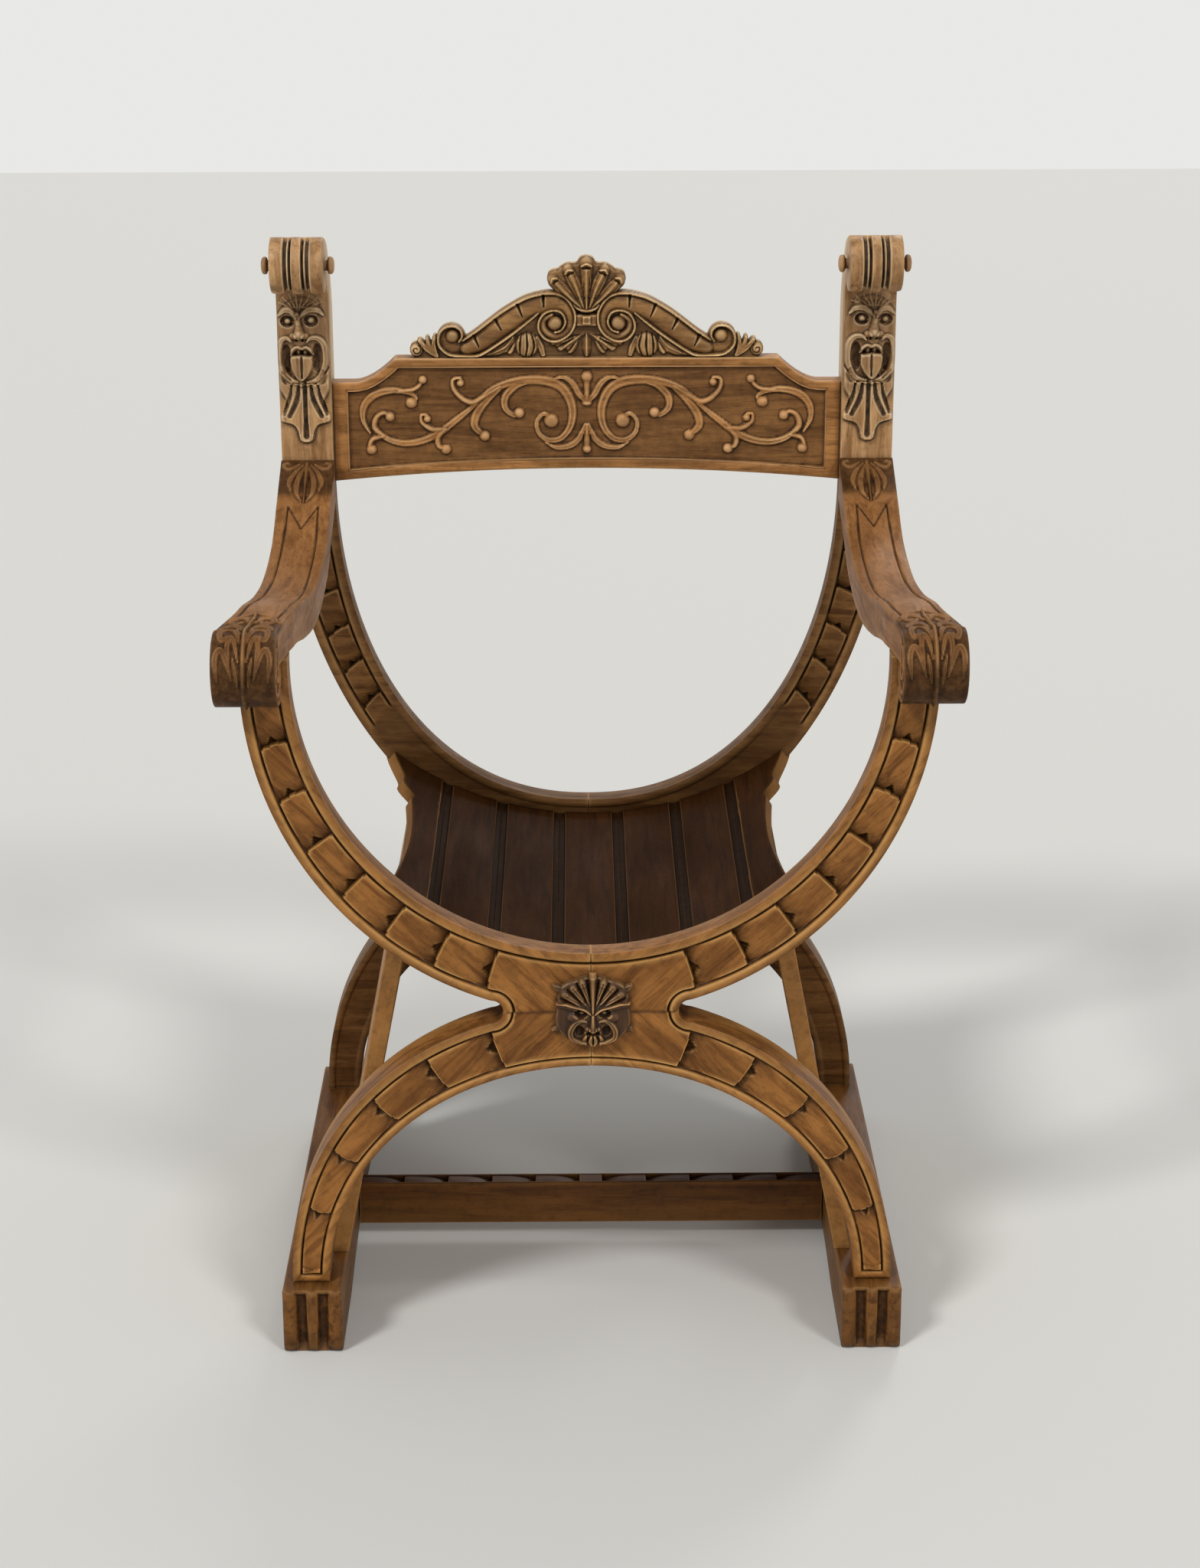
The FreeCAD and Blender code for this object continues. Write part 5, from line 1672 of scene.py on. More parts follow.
    def _buttons(self) -> None:
        """Turns the four buttons."""
        profile = curve([(0, 6), (2, 5.5), (4, 5.6), (5, 8), (6.5, 9), (8.5, 8.8), (9.8, 7.8), (10.7, 5.8),
            (11.1, 3.6), (11.2, 0.3)], 5)
        angle = np.linspace(0, 2 * math.pi, 49)[:-1]
        buttons: list[Shell] = []
        for x, out in ((SIZES.post_in, -1), (SIZES.post_in + SIZES.post_width, 1)):
            deep, radius = profile[:, :1], profile[:, 1:]
            buttons.append(loft(grid(x + out * (deep - 1), self.roll_y + radius * np.cos(angle),
                                     self.roll_z + radius * np.sin(angle))))
        both = buttons[0].joined(buttons[1])
        all_four = both.joined(both.mirrored())
        all_four.piece("turned_buttons", POST_WALNUT, "walnut_carved", ["volute_buttons"])


# Back rail and pediment

@dataclass
class BackRail:
    """Rail between the posts, its sunk field carved with scrolling stems."""
    front_y: float = 463.0
    back_y: float = 489.0
    end_bottom_z: float = 778.0
    mid_bottom_z: float = 791.0
    top_z: float = 909.5
    shoulder_z: float = 884.0
    shoulder_x: float = 246.0
    flat_x: float = 203.0
    top_border: float = 10.5
    low_border: float = 11.5
    end_border: float = 17.0
    recess: float = 4.8
    step: float = 1.15

    def _top(self, x: Array) -> Array:
        """Height of the top edge: flat, then a hollow curve down to a shoulder."""
        share = np.clip((np.abs(x) - self.flat_x) / (self.shoulder_x - self.flat_x), 0.0, 1.0)
        return self.top_z - (self.top_z - self.shoulder_z) * (1.0 - (1.0 - share) ** 1.7)

    def _bottom(self, x: Array) -> Array:
        """Height of the bottom edge, bowed up in the middle."""
        return self.mid_bottom_z - (self.mid_bottom_z - self.end_bottom_z) * (x / SIZES.post_in) ** 2

    def _stems(self, relief: Relief) -> None:
        """Carves the arabesque for the side where u is positive; z is v.

        Args:
            relief: The patch that is carved.
        """
        high = self.recess - 0.3
        balls: list[tuple[float, float, float]] = []

        def stem(points: Sequence[tuple[float, float]], widths: Sequence[float], ball: float = 0.0,
                 groove: float = 0.0) -> None:
            """Raises one stem, and a ball at its end.

            Args:
                points: Points of its middle line.
                widths: Half widths along it.
                ball: Radius of the ball, or 0.
                groove: Depth of the hollow along its crest.
            """
            relief.ridge(points, [w * 1.15 for w in widths], high * 0.88, groove=groove * 1.6)
            if ball:
                balls.append((*points[-1], ball * 1.15))

        # Big scroll whose eye lies next to the middle
        stem([(118, 862), (102, 874.5), (86, 881.5), (66, 885.5), (42, 884.5), (25, 876), (16, 858),
            (17, 838), (27, 823.5), (41, 821), (51.5, 829), (53, 842), (45, 849.5), (38, 842)],
            (1.6, 3, 3.6, 4.2, 4.6, 4.8, 4.6, 4.2, 3.6, 3, 2.6, 2.2, 2, 2), 6.6, 1)
        stem([(58, 884), (74, 880), (86, 869), (87, 856), (78, 848), (72, 850.5)],
            (1.2, 2.8, 3.6, 3.4, 2.6, 2), 5, 0.8)
        # Fork half way along, with a curl up and a curl down
        stem([(92, 879), (110, 868), (121, 862), (132, 866), (141, 876), (142, 886), (134.5, 888),
            (134, 883)], (1.2, 2.4, 2.8, 2.8, 2.6, 2.2, 1.8, 1.6), 3.6)
        stem([(92, 876), (106, 864), (117, 850), (119.5, 836), (109, 826)], (1.2, 3, 4.2, 3.8, 2.4), 5, 0.8)
        # Long stem to the far end
        stem([(118, 860), (138, 844), (157, 829.5), (175, 821), (194, 818), (211, 822), (224, 831)],
            (1.8, 3, 3.4, 3.6, 3.4, 3, 2.2), 0, 0.8)
        stem([(150, 834), (164, 833), (175, 840), (176, 848.5), (170.5, 848), (170, 844.5)],
            (1.4, 2.6, 2.6, 2.2, 1.8, 1.6), 3.6)
        stem([(150, 834), (159, 825), (158, 815), (150.5, 811.5)], (1.4, 3, 2.6, 2), 4.8)
        stem([(216, 826), (226, 835), (224, 846), (216, 851), (209.5, 847)], (1.4, 2.8, 2.8, 2.2, 2), 4.6)
        stem([(216, 826), (228, 823), (232, 815), (230, 811.5)], (1.4, 2.6, 2.2, 2), 4.8)
        # Hook that fills the end
        stem([(231, 829), (238, 843), (237, 858), (226, 870), (208, 875), (190, 873), (181.5, 867),
            (186.5, 862)], (1, 2.4, 3.4, 4, 3.6, 3, 2.2, 1.8), 5.4, 0.8)
        stem([(200, 874.5), (186, 875.5), (178, 880), (174, 886.5)], (1.2, 2.2, 2, 1.6), 4)
        # Middle: bud over a spear, with sprays at their sides
        stem([(0, 864), (0, 880), (0, 889)], (2.4, 2.6, 3.6), 5.2)
        stem([(0, 862), (8, 870), (15, 882), (25, 888.5), (36, 886)], (2.2, 3, 3, 2.2, 1), 0, 0.7)
        stem([(0, 838), (0, 822), (0, 811.5)], (1.2, 3, 2.6), 4.2)
        stem([(1.5, 838), (9, 822), (19, 814.5), (33, 813), (44, 818.5)], (1.6, 2.8, 3, 2.4, 1), 0, 0.7)
        relief.bump((0, 861), (5.4, 3.2), high, over=False)
        for u, v, radius in balls:
            relief.bump((u, v), (radius, radius), high + 1.2, over=False)

    def shell(self) -> Shell:
        """Lofts the rail from its left end to its right end.

        Returns:
            A closed shell.
        """
        end = SIZES.post_in
        x = np.linspace(-end, end, int(2 * end / self.step))
        low, high = self._bottom(x), self._top(x)
        rows = int((self.top_z - self.mid_bottom_z) / self.step)
        share = np.linspace(0.0, 1.0, rows)
        z = low[:, None] + (high - low)[:, None] * share
        grid_x = np.repeat(x[:, None], rows, axis=1)
        top_line = np.stack([x, high], axis=1)
        low_line = np.stack([x, low], axis=1)
        flat = np.stack([grid_x.ravel(), z.ravel()], axis=1)
        to_top = distance_to(flat, top_line).reshape(z.shape)
        to_low = distance_to(flat, low_line).reshape(z.shape)
        to_edge = np.minimum(np.minimum(to_top, to_low), end - np.abs(grid_x))
        margin = np.minimum(np.minimum(to_top - self.top_border, to_low - self.low_border),
                            end - np.abs(grid_x) - self.end_border)
        field = smooth(-1.2, 0.6, margin)
        relief = Relief(np.abs(grid_x), z)
        self._stems(relief)
        carved = np.clip(relief.height.reshape(z.shape), 0.0, None)
        soft = 1.2 * (1.0 - smooth(0.0, 1.6, np.minimum(to_edge, 1.6)))
        groove = 0.9 * np.exp(-((margin + 2.2) / 0.7) ** 2)
        y = self.front_y + soft + groove + field * self.recess - field * carved
        ring = [grid(grid_x, y, z)]
        for yy, edge in (
                (self.front_y + 6.0, high), (self.back_y - 1.5, high), (self.back_y, high - 1.5),
                (self.back_y, (high + low) / 2), (self.back_y, low + 1.5), (self.back_y - 1.5, low),
                (self.front_y + 6.0, low)):
            ring.append(grid(x, yy, edge)[:, None, :])
        shell = loft(np.concatenate(ring, axis=1))
        ground = field * (1.0 - smooth(0.3, 3.0, carved))
        stain = np.maximum(0.62 * ground, 0.9 * np.exp(-((margin - 0.3) / 1.1) ** 2) * (carved < 2.0))
        shell.layers = {"stain": with_plain(stain, len(ring) - 1)}
        return shell

    def build(self) -> None:
        """Makes the rail."""
        self.shell().piece("arabesque_rail", RAIL_WALNUT, "walnut_frame", ["crest_rail"])


@dataclass
class Pediment:
    """Crest of two S-scrolls that carry a leafy shell between them."""
    foot_z: float = 909.5
    half: float = 188.0
    plate_y: float = 471.0
    back_y: float = 483.0
    top_z: float = 1016.0
    step: float = 0.95

    def relief(self, x: Array, z: Array) -> Relief:
        """Carves the crest over points (x, z), the same at both sides.

        Args:
            x: Places across.
            z: Heights.

        Returns:
            The carved patch.
        """
        cut = Relief(np.abs(x), z)
        base = self.foot_z
        cut.patch(np.array([(0, base - 5), (self.half - 6, base - 5), (self.half - 9, 914), (160, 921),
            (135, 921), (108, 932), (70, 955), (36, 960), (0, 962), (-5, 930)]), 0.6)
        self._leaves(cut)
        self._scroll(cut)
        self._shell(cut)
        return cut

    def _scroll(self, cut: Relief) -> None:
        """S-scroll: a broad round band between two fillets that winds up at both ends.

        Args:
            cut: The patch that is carved.
        """
        upper = curve([(130.7, 928.1), (116.9, 936.9), (103.2, 947.2), (89.5, 957.3), (75.8, 965.8),
            (62.1, 972.6), (45.6, 976.7), (31.9, 976.7), (20.9, 971.3), (13.2, 959.5), (12.1, 947.2),
            (16.8, 936.3), (25, 929.5), (34.6, 926.7), (44.2, 930), (50.3, 939), (49.7, 948.6),
            (44.2, 956.3), (34.6, 959.5), (25.8, 956.3), (22.3, 947.2), (26.4, 939), (33.2, 936.3)])
        lower = curve([(51.1, 956.3), (62.1, 947.2), (75.8, 936.5), (89.5, 926.7), (108.7, 914.4),
            (116.9, 911.6), (127.9, 911.4), (144.4, 912.7), (154, 919.9), (156.7, 928.1), (154.5, 936.3),
            (148.5, 941.8), (140.3, 943.1), (133.4, 939), (131.5, 932.2), (134.8, 926.7)])
        band = curve([(33, 968), (48, 966), (66, 959.5), (82, 948.5), (98, 936.5), (113, 925.5),
            (126, 919.5)])
        cut.ridge(band, (9, 11, 12, 12.2, 11.8, 10.5, 8), 6.4)
        ring = curve([(33, 968), (22.5, 962.5), (17, 950), (20.5, 937.5), (33, 931.5), (44, 937.5),
            (46, 948), (37, 955)])
        cut.ridge(ring, (8.8, 6, 4.8, 4.6, 4.6, 4.2, 3.8, 3), 5.6)
        cut.bump((142.5, 928.5), (14.5, 16), 3.4, over=False)
        for line in (upper, lower):
            cut.ridge(line, (1.5, 1.9, 1.9, 1.9, 1.7, 1.5), 8.2)
        cut.bump((33.2, 945.6), (8.2, 8.2), 9, over=False)
        cut.bump((141.6, 932.6), (7.7, 7.7), 9, over=False)
        # Cuts across the band
        for start, end in (
                ((45.6, 975), (45, 962.3)),
                ((72.8, 965.6), (67.5, 952.7)), ((96.2, 949.8), (90, 939)),
                ((119.2, 932.8), (113.7, 921.3))):
            cut.nick(np.array([start, end]), (2.2, 0.7), 4.4)

    def _leaves(self, cut: Relief) -> None:
        """Leaves under the scrolls, ribbed buds and the curled leaf at the end.

        Args:
            cut: The patch that is carved.
        """
        lobes = curve([(2, 934), (8, 930), (10, 921), (14, 914.5), (19, 913), (22, 918), (26, 915.5),
            (30, 917), (33, 921.5), (37, 922), (39, 927), (34, 929)])
        cut.patch(lobes, 4.5, 3)
        for points in (
                ((6, 931.5), (12, 924), (17, 915)),
                ((8, 931.5), (18, 925), (28, 917.5)),
                ((12, 932), (24, 927), (36, 924.5))):
            cut.ridge(points, (0.9, 1.5, 0.9), 1.8, Crest.ROOF, over=True)
        for points in (((9, 929), (14.5, 922), (20.5, 915)), ((14, 930), (24, 924), (31.5, 920))):
            cut.nick(points, (0.7, 1.3, 0.9), 2.6)
        cut.ridge([(0, 935), (0, 926), (0, 919), (0, 911.5)], (1, 5, 6, 3), 6.4, Crest.ROOF)
        cut.ridge([(52, 930), (48.5, 921), (46, 912)], (2.4, 3.6, 2.6), 4.6, groove=1.6)
        cut.bump((63.4, 922.6), (12.4, 13.6), 7, over=False)
        for points in (
                ((58.5, 935), (55.5, 922), (59, 910.5)),
                ((63.5, 936), (62.8, 922), (64.5, 910)),
                ((69, 934.5), (70.5, 922), (70, 911))):
            cut.nick(points, (0.8, 1.7, 0.8), 4)
        leaf = curve([(77, 936), (84, 929), (92, 923), (101, 917), (112, 911.5), (95, 911), (86, 914),
            (81, 912), (77, 916), (75, 922)])
        cut.patch(leaf, 4, 2.6)
        cut.ridge([(78, 931), (86, 921), (100, 914)], (1, 1.8, 0.8), 2, Crest.ROOF, over=True)
        cut.nick([(76.5, 926), (81, 919.5), (84.5, 914)], (0.8, 1.4, 0.8), 2.4)
        # Curled leaf outside the scroll, three ribs that end in a rolled tip
        for points, widths in (
                (((158, 911), (161.5, 921), (160.5, 932)), (2, 3.2, 1.6)),
                (((158.5, 911), (166, 921), (168.5, 930.5)), (2, 3.2, 1.6)),
                (((159, 911), (169.5, 919.5), (176.5, 927.5)), (2, 3.4, 2.2))):
            cut.ridge(points, widths, 5.4, groove=1.4)
        cut.bump((180, 918), (6.6, 7.4), 6.6, over=False)
        cut.nick(spiral((180, 918), 5.4, 1.2, 120, 400), (0.9, 1.1, 0.7), 2.8)

    def _shell(self, cut: Relief) -> None:
        """Shell of broad leaves whose tips roll over towards the eye, tied at its foot.

        Args:
            cut: The patch that is carved.
        """
        rim = curve([(12.5, 961.5), (22, 971), (31, 978.5), (38.5, 985), (40.5, 991), (39.5, 998),
            (34.5, 1001), (30, 1001.5), (26.5, 1004.5), (20, 1007.5), (13.5, 1008), (10, 1008.2),
            (7.5, 1012), (5, 1014.4), (0, 1015.4)])
        cut.patch(np.concatenate([rim, [(-5, 1015.4), (-5, 961)]]), 3.4, 3)
        leaves = (
            ([(6, 963), (18, 974), (28, 984), (35, 992.5)], (2.4, 5.4, 6.8, 6), 7.6),
            ([(3, 963), (10, 982), (16, 995), (19, 1001.5)], (2.2, 5.6, 7.2, 6.4), 8.6),
            ([(0, 962), (0, 985), (0, 1008)], (2.4, 5.4, 7.4), 9.6))
        for points, widths, height in leaves:
            line = curve(points)
            cut.ridge(line, widths, height)
            cut.ridge(line[:int(len(line) * 0.86)], (0.8, 1.6, 1.2), 1.8, Crest.ROOF, over=True)
            for aside in (-0.52, 0.52):
                side = np.gradient(line, axis=0)
                side /= np.linalg.norm(side, axis=1, keepdims=True)
                half = np.interp(np.linspace(0, 1, len(line)), np.linspace(0, 1, len(widths)), widths)
                vein = line + np.stack([-side[:, 1], side[:, 0]], axis=1) * (half * aside)[:, None]
                cut.nick(vein[4:int(len(line) * 0.8)], (0.5, 1, 0.6), 2)
            (u0, v0), (u1, v1) = points[-2], points[-1]
            way = np.array([u1 - u0, v1 - v0]) / math.hypot(u1 - u0, v1 - v0)
            aside = np.array([-way[1], way[0]])
            tip, half = np.array([u1, v1]), widths[-1]
            lip = curve([tuple(tip - aside * half * 0.7 - way * 2), tuple(tip + way * 0.6),
                         tuple(tip + aside * half * 0.7 - way * 2)])
            cut.ridge(lip, (1.2, 2.4, 1.2), height + 3)
            low = curve([tuple(tip - aside * half * 0.5 - way * 4.6), tuple(tip - way * 3.4),
                         tuple(tip + aside * half * 0.5 - way * 4.6)])
            cut.nick(low, (0.9, 1.5, 0.9), 3.6)
        # Tie with a curled lip over it
        cut.patch(np.array([(-13, 942.5), (11, 942.5), (11.4, 955.5), (-13, 955.5)]), 6.4, 2)
        cut.patch(np.array([(-6, 944), (5, 944), (5, 954.5), (-6, 954.5)]), 8.6, 1.5)
        cut.ridge([(-13, 962.5), (0, 959.5), (9, 961.5), (13, 965)], (2.4, 3, 2.6, 1.2), 9.2)
        cut.nick([(-10, 956.6), (0, 956.2), (10, 957.2)], (0.8, 0.9, 0.8), 4)

    def _dark(self, x: Array, z: Array) -> Array:
        """Stain that lies in the cuts and on the ground between the leaves."""
        cut = self.relief(x, z)
        return np.maximum(0.85 * cut.stain, 0.5 * (1.0 - smooth(1.0, 3.2, cut.height)))

    def build(self) -> None:
        """Makes the crest."""
        crest = plaque(
            lambda x, z: self.relief(x, z).solid + 0.4,
            lambda x, z: self.plate_y - self.relief(x, z).height,
            (-self.half, self.half), (self.foot_z, self.top_z), self.step, self.back_y, self._dark)
        crest.piece("scrolled_pediment", CREST_WALNUT, "walnut_carved", ["crest_pediment"],
                    sharp_degrees=55.0)


def ray(degrees: float) -> Array:
    """Step of length 1 at an angle from level."""
    return np.array([math.cos(math.radians(degrees)), math.sin(math.radians(degrees))])


@dataclass
class CentreMask:
    """Small mask of an old man of the woods with a fan of leaves, over the front joint."""
    middle_x: float = 1.8
    middle_z: float = 363.5
    half: float = 34.0
    back_y: float = 0.6
    step: float = 0.7

    def relief(self, x: Array, z: Array) -> Relief:
        """Carves the mask over points (x, z).

        Args:
            x: Places across.
            z: Heights.

        Returns:
            The carved patch.
        """
        cut = Relief(np.abs(x - self.middle_x), z - self.middle_z)
        fan = curve([(-5, 35.6), (0, 35.6), (5.5, 35.2), (10.6, 34.2), (16, 32.2), (21, 30.7), (27, 28.4),
            (31.7, 24.4), (34.2, 18), (35, 12), (35.6, 2), (36.8, -10), (34, -20), (24, -30), (10, -35.2),
            (0, -36), (-5, -36)])
        cut.patch(fan, 4.6, 2.4)
        # Leaf tips at the four corners
        cut.ridge([(24, 17), (32, 22), (38.5, 26.5)], (5, 4, 1), 4.4, groove=1.4)
        cut.ridge([(26, -14), (34, -18), (39.5, -20.5)], (5, 3.6, 1), 4.4, groove=1.4)
        # Fan of leaves with a scalloped edge over the brow
        for degrees, reach in ((71, 33.5), (52, 34), (33, 35.5), (14, 35)):
            way = ray(degrees)
            foot = np.array([0, -2]) + way * 9
            cut.ridge(np.array([foot, way * (reach - 3)]), (1.6, 4, 5.4), 8.2)
            cut.bump(tuple(way * (reach - 4.6)), (5, 5), 8.6, over=False)
        for degrees in (80, 61.5, 42.5, 23.5):
            cut.nick(np.outer((8, 33), ray(degrees)), (0.6, 1.3), 2.2)
        for degrees in (71, 52, 33):
            cut.nick(np.outer((12, 31), ray(degrees)), (0.5, 0.8), 1.2)
        cut.ridge(np.array([(0, 35), (0, 14), (0, -4)]), (4.4, 3.2, 2.2), 10.6)
        # Brow, eyes in dark sockets, nose
        cut.bump((0, -8), (26, 24), 8.4, over=False)
        cut.bump((11.3, -1.4), (6.4, 4.8), -6)
        cut.bump((11, -1.2), (3.2, 2.2), 4.6)
        cut.ridge([(35, 9), (27, 8.4), (19.8, 6.3), (7.9, 2.8), (0.5, -3.5)], (1.4, 2, 2.4, 2.4, 2), 10.4)
        cut.ridge(np.array([(0, -3), (0, -12), (0, -18)]), (2.6, 4, 5.4), 13.5)
        cut.bump((5, -17), (2.6, 2.6), 3)
        cut.bump((19.5, -6.5), (6, 4.6), 3)
        # Curled moustache, mouth and beard
        cut.ridge([(6, -9.6), (10.6, -8.4), (17.2, -12), (21.5, -19.5), (20.4, -27), (13, -31), (7, -32)],
            (1.2, 2.8, 3.8, 4, 3.4, 2.6, 1.4), 11.4, groove=1.8)
        cut.bump((12.6, -20), (4.6, 6), -5)
        cut.bump((0, -22.6), (6.6, 2.6), -6)
        for points in (((1.6, -26), (2.6, -31), (1.2, -35)), ((6.6, -25), (8.6, -30), (7, -34))):
            cut.ridge(points, (1.6, 3, 1.4), 9.4, groove=1.4)
        return cut

    def _dark(self, x: Array, z: Array) -> Array:
        """Stain in the cuts and between the leaves."""
        cut = self.relief(x, z)
        return np.maximum(0.85 * cut.stain, 0.6 * (1.0 - smooth(3.0, 7.4, cut.height)))

    def build(self) -> None:
        """Makes the mask."""
        mask = plaque(
            lambda x, z: self.relief(x, z).solid,
            lambda x, z: -1.0 - self.relief(x, z).height,
            (-self.half - 6.0, self.half + 6.0), (self.middle_z - 40.0, self.middle_z + 38.0),
            self.step, self.back_y, self._dark)
        mask.piece("joint_mask", MASK_WALNUT, "walnut_carved", ["centre_mask"], sharp_degrees=55.0)


# Seat and stretcher

@dataclass
class SeatStaves:
    """Curved boards between the frames, the middle five repeated by Geometry Nodes."""
    radius: float = SIZES.stave_r
    thick: float = 13.0
    degrees: float = 10.5
    edge_degrees: float = 35.5
    waist_degrees: float = 31.8
    front_y: float = 36.0
    rear_y: float = 464.0
    count: int = 7
    overlap: float = 0.02
    rebate_depth: float = 1.9
    rebate_from: float = 5.9
    rebate_full: float = 6.4

    def _board(self, low: Array, high: Array, rebated: bool, wide: int = 26) -> Shell:
        """One board between two edge angles that may change along it.

        Args:
            low: Angle of the lower edge in degrees, by station from front to rear.
            high: Angle of the higher edge.
            rebated: Whether the higher edge has a rebate too.
            wide: Points across the top.

        Returns:
            A closed shell.
        """
        y = np.linspace(self.front_y, self.rear_y, len(low))
        edge = np.array([0.0, 0.35, 0.8, 1.4, 2.6, 4.4, 5.6, 6.0, 6.3, 6.6, 7.0, 7.4, 8.2]) / 64.0
        share = np.concatenate([edge, np.linspace(0.13, 0.87, wide), 1.0 - edge[::-1]])
        angle = np.radians(low[:, None] + (high - low)[:, None] * share)
        width = np.radians(high - low)[:, None] * self.radius
        to_low, to_high = share[None] * width, (1.0 - share)[None] * width
        gap = np.minimum(to_low, to_high)
        joint = gap if rebated else to_low
        # Rebate along each joint, its ground stained nearly black
        rebate = self.rebate_depth * (1.0 - smooth(self.rebate_from, self.rebate_full, joint))
        sink = 1.0 * (1.0 - smooth(0.0, 1.2, gap)) + rebate - 0.45 * np.exp(-((joint - 7.0) / 0.5) ** 2)
        stain = 0.8 * (1.0 - smooth(5.7, 6.2, joint)) + 0.15 * (1.0 - smooth(0.0, 0.9, joint))
        top_r = self.radius + sink
        tops = grid(top_r * np.sin(angle), y[:, None], self._centre_z() - top_r * np.cos(angle))
        under = angle[:, ::-1][:, ::4]
        low_r = self.radius + self.thick
        bottoms = grid(low_r * np.sin(under), y[:, None], self._centre_z() - low_r * np.cos(under))
        shell = loft(np.concatenate([tops, bottoms], axis=1))
        shell.layers = {"stain": with_plain(stain, under.shape[1])}
        return shell

    def _centre_z(self) -> float:
        """Height of the centre that the seat is curved about."""
        return SIZES.seat_low_z + self.radius

    def tree(self) -> bpy.types.NodeTree:
        """Builds the node tree that swings copies of one board about the seat's axis.

        Returns:
            The tree.
        """
        tree, add, known = begin_tree("swung_staves", {"Count": "Int", "Pitch": "Float",
            "Axis Height": "Float", "Seed": "Int"})
        axis = add("ShaderNodeCombineXYZ", {"Z": known["Axis Height"]}).outputs[0]
        down = add("ShaderNodeVectorMath", {0: axis, "Scale": -1.0}, operation="SCALE").outputs[0]
        board = add("GeometryNodeTransform", {"Geometry": known["Geometry"],
            "Translation": down}).outputs[0]
        line = add("GeometryNodeMeshLine", {"Count": known["Count"], "Start Location": axis,
            "Offset": (0.0, 0.0, 0.0)}).outputs[0]
        known["number"] = add("GeometryNodeInputIndex").outputs[0]
        # Each board is swung a hair off its place, less than the boards overlap
        known["chance"] = add("FunctionNodeRandomValue", {"ID": known["number"], "Seed": known["Seed"],
            2: -0.0002, 3: 0.0002}, data_type="FLOAT").outputs[1]
        wire(add, known, (
            ("less", "SUBTRACT", "Count", 1.0),
            ("half", "MULTIPLY", "less", 0.5),
            ("turn", "SUBTRACT", "half", "number"),
            ("turn", "MULTIPLY", "turn", "Pitch"),
            ("turn", "ADD", "turn", "chance")))
        swing = add("ShaderNodeCombineXYZ", {"Y": known["turn"]}).outputs[0]
        swing = add("FunctionNodeEulerToRotation", {"Euler": swing}).outputs[0]
        placed = add("GeometryNodeInstanceOnPoints", {"Points": line, "Instance": board,
            "Rotation": swing}).outputs[0]
        end_tree(add, placed, known["Material"])
        return tree

    def build(self) -> None:
        """Makes the five middle boards as one piece and the two outer boards."""
        stations = 80
        half = np.full(stations, self.degrees / 2 + self.overlap)
        middle = self._board(-half, half, True)

        def swing(thing: bpy.types.Object) -> None:
            """Repeats the board."""
            apply_tree(thing, self.tree(), {"Count": self.count - 2, "Pitch": math.radians(self.degrees),
                "Axis Height": self._centre_z() * MM, "Seed": 5, "Material": SEAT_WALNUT.material()})

        middle.piece("middle_staves", SEAT_WALNUT, "walnut_seat",
                     [f"seat_stave_{n}" for n in range(2, self.count)], swing)
        t = np.linspace(-1.0, 1.0, stations)
        outer = self.waist_degrees + (self.edge_degrees - self.waist_degrees) * np.abs(t) ** 1.8
        # Cusp towards the rear, with a horn behind it
        outer += 2.4 * smooth(0.55, 1.0, t)
        outer += 1.1 * np.exp(-((t - 0.64) / 0.06) ** 2) - 0.9 * np.exp(-((t - 0.54) / 0.035) ** 2)
        inner = np.full(stations, (self.count / 2 - 1) * self.degrees - self.overlap)
        edge = self._board(inner, outer, False)
        edge.piece("outer_stave_right", SEAT_WALNUT, "walnut_seat", [f"seat_stave_{self.count}"])
        edge.mirrored().piece("outer_stave_left", SEAT_WALNUT, "walnut_seat", ["seat_stave_1"])


@dataclass
class Stretcher:
    """Bar between the runners, its top carved with five scales at each side of a plain middle."""
    half: float = 248.0
    depth: float = 21.0
    low_z: float = 20.0
    high_z: float = 68.0
    motif: float = 26.0
    step: float = 1.3

    def build(self) -> None:
        """Makes the bar."""
        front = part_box("stretcher")[0][1] / MM - FRONT_Y
        x = np.linspace(-self.half, self.half, int(2 * self.half / self.step))
        rows = np.array([0.0, 0.5, 1.1, 1.8, 2.4, 2.9, 4.0, 6.0, 8.0, 10.5, 13.0, 15.0, 17.0, 18.1, 18.6,
            19.2, 19.9, 20.5, 21.0])
        gap = np.minimum(rows, self.depth - rows)
        soft = 1.0 * (1.0 - smooth(0.0, 1.2, gap))
        inside = smooth(2.3, 2.9, gap)
        top = grid(x[:, None], front + rows, self.high_z - soft)
        section = ((self.depth, self.high_z - 6.0), (self.depth, self.low_z + 2.0),
                   (self.depth - 1.0, self.low_z), (1.0, self.low_z), (0.0, self.low_z + 2.0),
                   (0.0, self.high_z - 6.0))
        rest = np.stack([grid(x, front + y, z) for y, z in section], axis=1)
        shell = loft(np.concatenate([top, rest], axis=1))
        span = (self.half - self.motif / 2) / 5
        along = (np.abs(x) - self.motif / 2) / span
        across = np.clip((rows - self.depth / 2) / (self.depth / 2 - 2.6), -1.0, 1.0)
        plain, shape = len(section), top.shape[:2]
        shell.layers = {"along": with_plain(np.broadcast_to(along[:, None], shape), plain, -1.0),
                        "across": with_plain(np.broadcast_to(across, shape), plain),
                        "floor": with_plain(np.broadcast_to(inside, shape), plain)}
        carving = ScaleCarving(5, deep=5.5, shallow=0.6, field=0.4, crown=0.5, bulge=0.0, notch_deep=1.5,
            into=(0.0, 0.0, -1.0))
        shell.piece("scaled_stretcher", BAR_WALNUT, "walnut_frame", ["stretcher"],
            partial(carving.cut, finish=BAR_WALNUT))


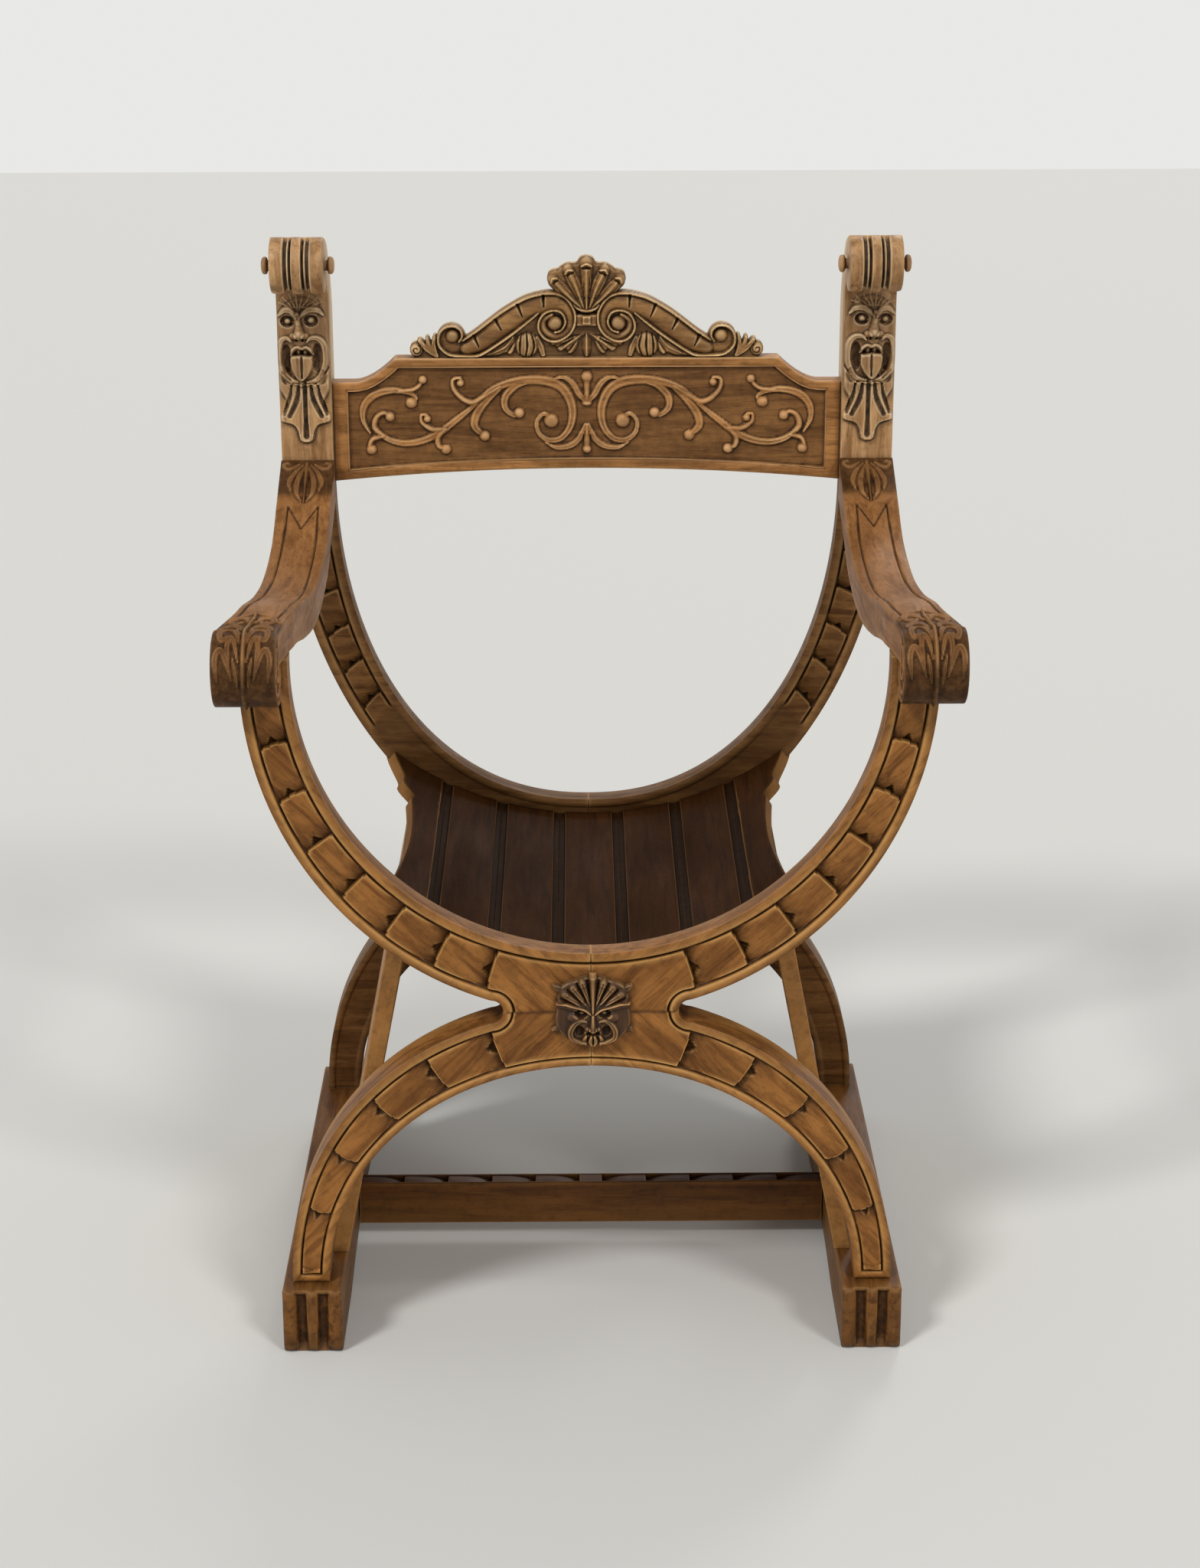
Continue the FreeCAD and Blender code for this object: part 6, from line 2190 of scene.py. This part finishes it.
@dataclass(frozen=True)
class Studio:
    """Camera at the photograph's place, soft lamps and a plain pale floor."""
    focal_px: float = 3796.0
    long_side_px: float = 2048.0
    camera_place: tuple[float, float, float] = (-11.7, -2584.5, 1488.5)
    pitch_degrees: float = 19.094
    yaw: float = 0.00808
    roll: float = -0.00251

    def build(self) -> None:
        """Makes the camera, the lamps, the world and the floor."""
        self._camera()
        self._lamps()
        self._ground()

    def _camera(self) -> None:
        """Places the camera and turns it as measured from the chair's straight edges."""
        pitch = math.radians(self.pitch_degrees)
        ahead = np.array([math.sin(self.yaw) * math.cos(pitch), math.cos(self.yaw) * math.cos(pitch),
                          -math.sin(pitch)])
        level = np.array([math.cos(self.yaw), -math.sin(self.yaw), 0.0])
        above = np.cross(level, ahead)
        right = math.cos(self.roll) * level + math.sin(self.roll) * above
        up = math.cos(self.roll) * above - math.sin(self.roll) * level
        data = bpy.data.cameras.new("camera")
        data.sensor_width = 36.0
        data.lens = self.focal_px / self.long_side_px * data.sensor_width
        data.clip_end = 30.0
        camera = bpy.data.objects.new("camera", data)
        x, y, z = self.camera_place
        turn = np.stack([right, up, -ahead], axis=1)
        matrix = Matrix(turn.tolist()).to_4x4()
        matrix.translation = (x * MM, (y + FRONT_Y) * MM, z * MM)
        camera.matrix_world = matrix
        bpy.context.scene.collection.objects.link(camera)
        bpy.context.scene.camera = camera

    def _lamps(self) -> None:
        """Three soft suns and an even world; together they light the floor with a level of one."""
        for name, azimuth, height, strength in (
                ("sun_left", -42.0, 44.0, 1.45),
                ("sun_right", 36.0, 40.0, 0.95),
                ("sun_behind", 165.0, 35.0, 0.45)):
            data = bpy.data.lights.new(name, "SUN")
            data.angle = math.radians(12.0)
            data.energy = strength
            lamp = bpy.data.objects.new(name, data)
            lamp.rotation_euler = (math.radians(90.0 - height), 0.0, math.radians(azimuth))
            bpy.context.scene.collection.objects.link(lamp)
        world = bpy.data.worlds.new("studio")
        world.use_nodes = True
        tree = world.node_tree
        tree.nodes.clear()
        rays = add_node(tree, "ShaderNodeLightPath").outputs
        seen = add_node(tree, "ShaderNodeMath", {0: rays["Is Camera Ray"], 1: rays["Is Glossy Ray"]},
            operation="MAXIMUM").outputs[0]
        seen = add_node(tree, "ShaderNodeMath", {0: seen, 1: rays["Is Transmission Ray"]},
            operation="MAXIMUM").outputs[0]
        level = add_node(tree, "ShaderNodeMapRange", {"Value": seen, "To Min": 0.42,
            "To Max": 0.9}).outputs["Result"]
        sky = add_node(tree, "ShaderNodeBackground", {"Color": to_linear("F4F4F2"), "Strength": level})
        add_node(tree, "ShaderNodeOutputWorld", {"Surface": sky.outputs[0]})
        bpy.context.scene.world = world
        bpy.context.scene.view_settings.view_transform = "Standard"

    def _ground(self) -> None:
        """Lays a pale matt floor under the chair."""
        mesh = bpy.data.meshes.new("floor")
        reach = 9.0
        mesh.from_pydata([(-reach, -reach, 0), (reach, -reach, 0), (reach, reach, 0), (-reach, reach, 0)],
            [], [(0, 1, 2, 3)])
        floor = bpy.data.objects.new("floor", mesh)
        material = bpy.data.materials.new("pale_painted_floor")
        material.use_nodes = True
        tree = material.node_tree
        tree.nodes.clear()
        shader = add_node(tree, "ShaderNodeBsdfPrincipled", {"Base Color": to_linear("D9D8D4"),
            "Roughness": 0.8})
        add_node(tree, "ShaderNodeOutputMaterial", {"Surface": shader.outputs[0]})
        mesh.materials.append(material)
        bpy.context.scene.collection.objects.link(floor)


def dress_nodes() -> None:
    """Gives the CAD nodes a finish; only the dowels stay in the model."""
    for name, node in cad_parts.items():
        finish = BEECH if name.endswith("_dowels") else BASE_WALNUT
        node.data.materials.clear()
        node.data.materials.append(finish.material())


def corners(box: tuple[Any, Any]) -> list[list[float]]:
    """A box's two corners as plain lists."""
    return [[float(c) for c in corner] for corner in box]


def main() -> None:
    """Builds the chair's pieces in order and reports them."""
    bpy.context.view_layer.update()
    dress_nodes()
    Frames(SIZES).build()
    Feet().build()
    SideBoards().build()
    Arms().build()
    Posts().build()
    BackRail().build()
    Pediment().build()
    CentreMask().build()
    SeatStaves().build()
    Stretcher().build()
    Studio().build()


if __name__ == "__main__":
    main()
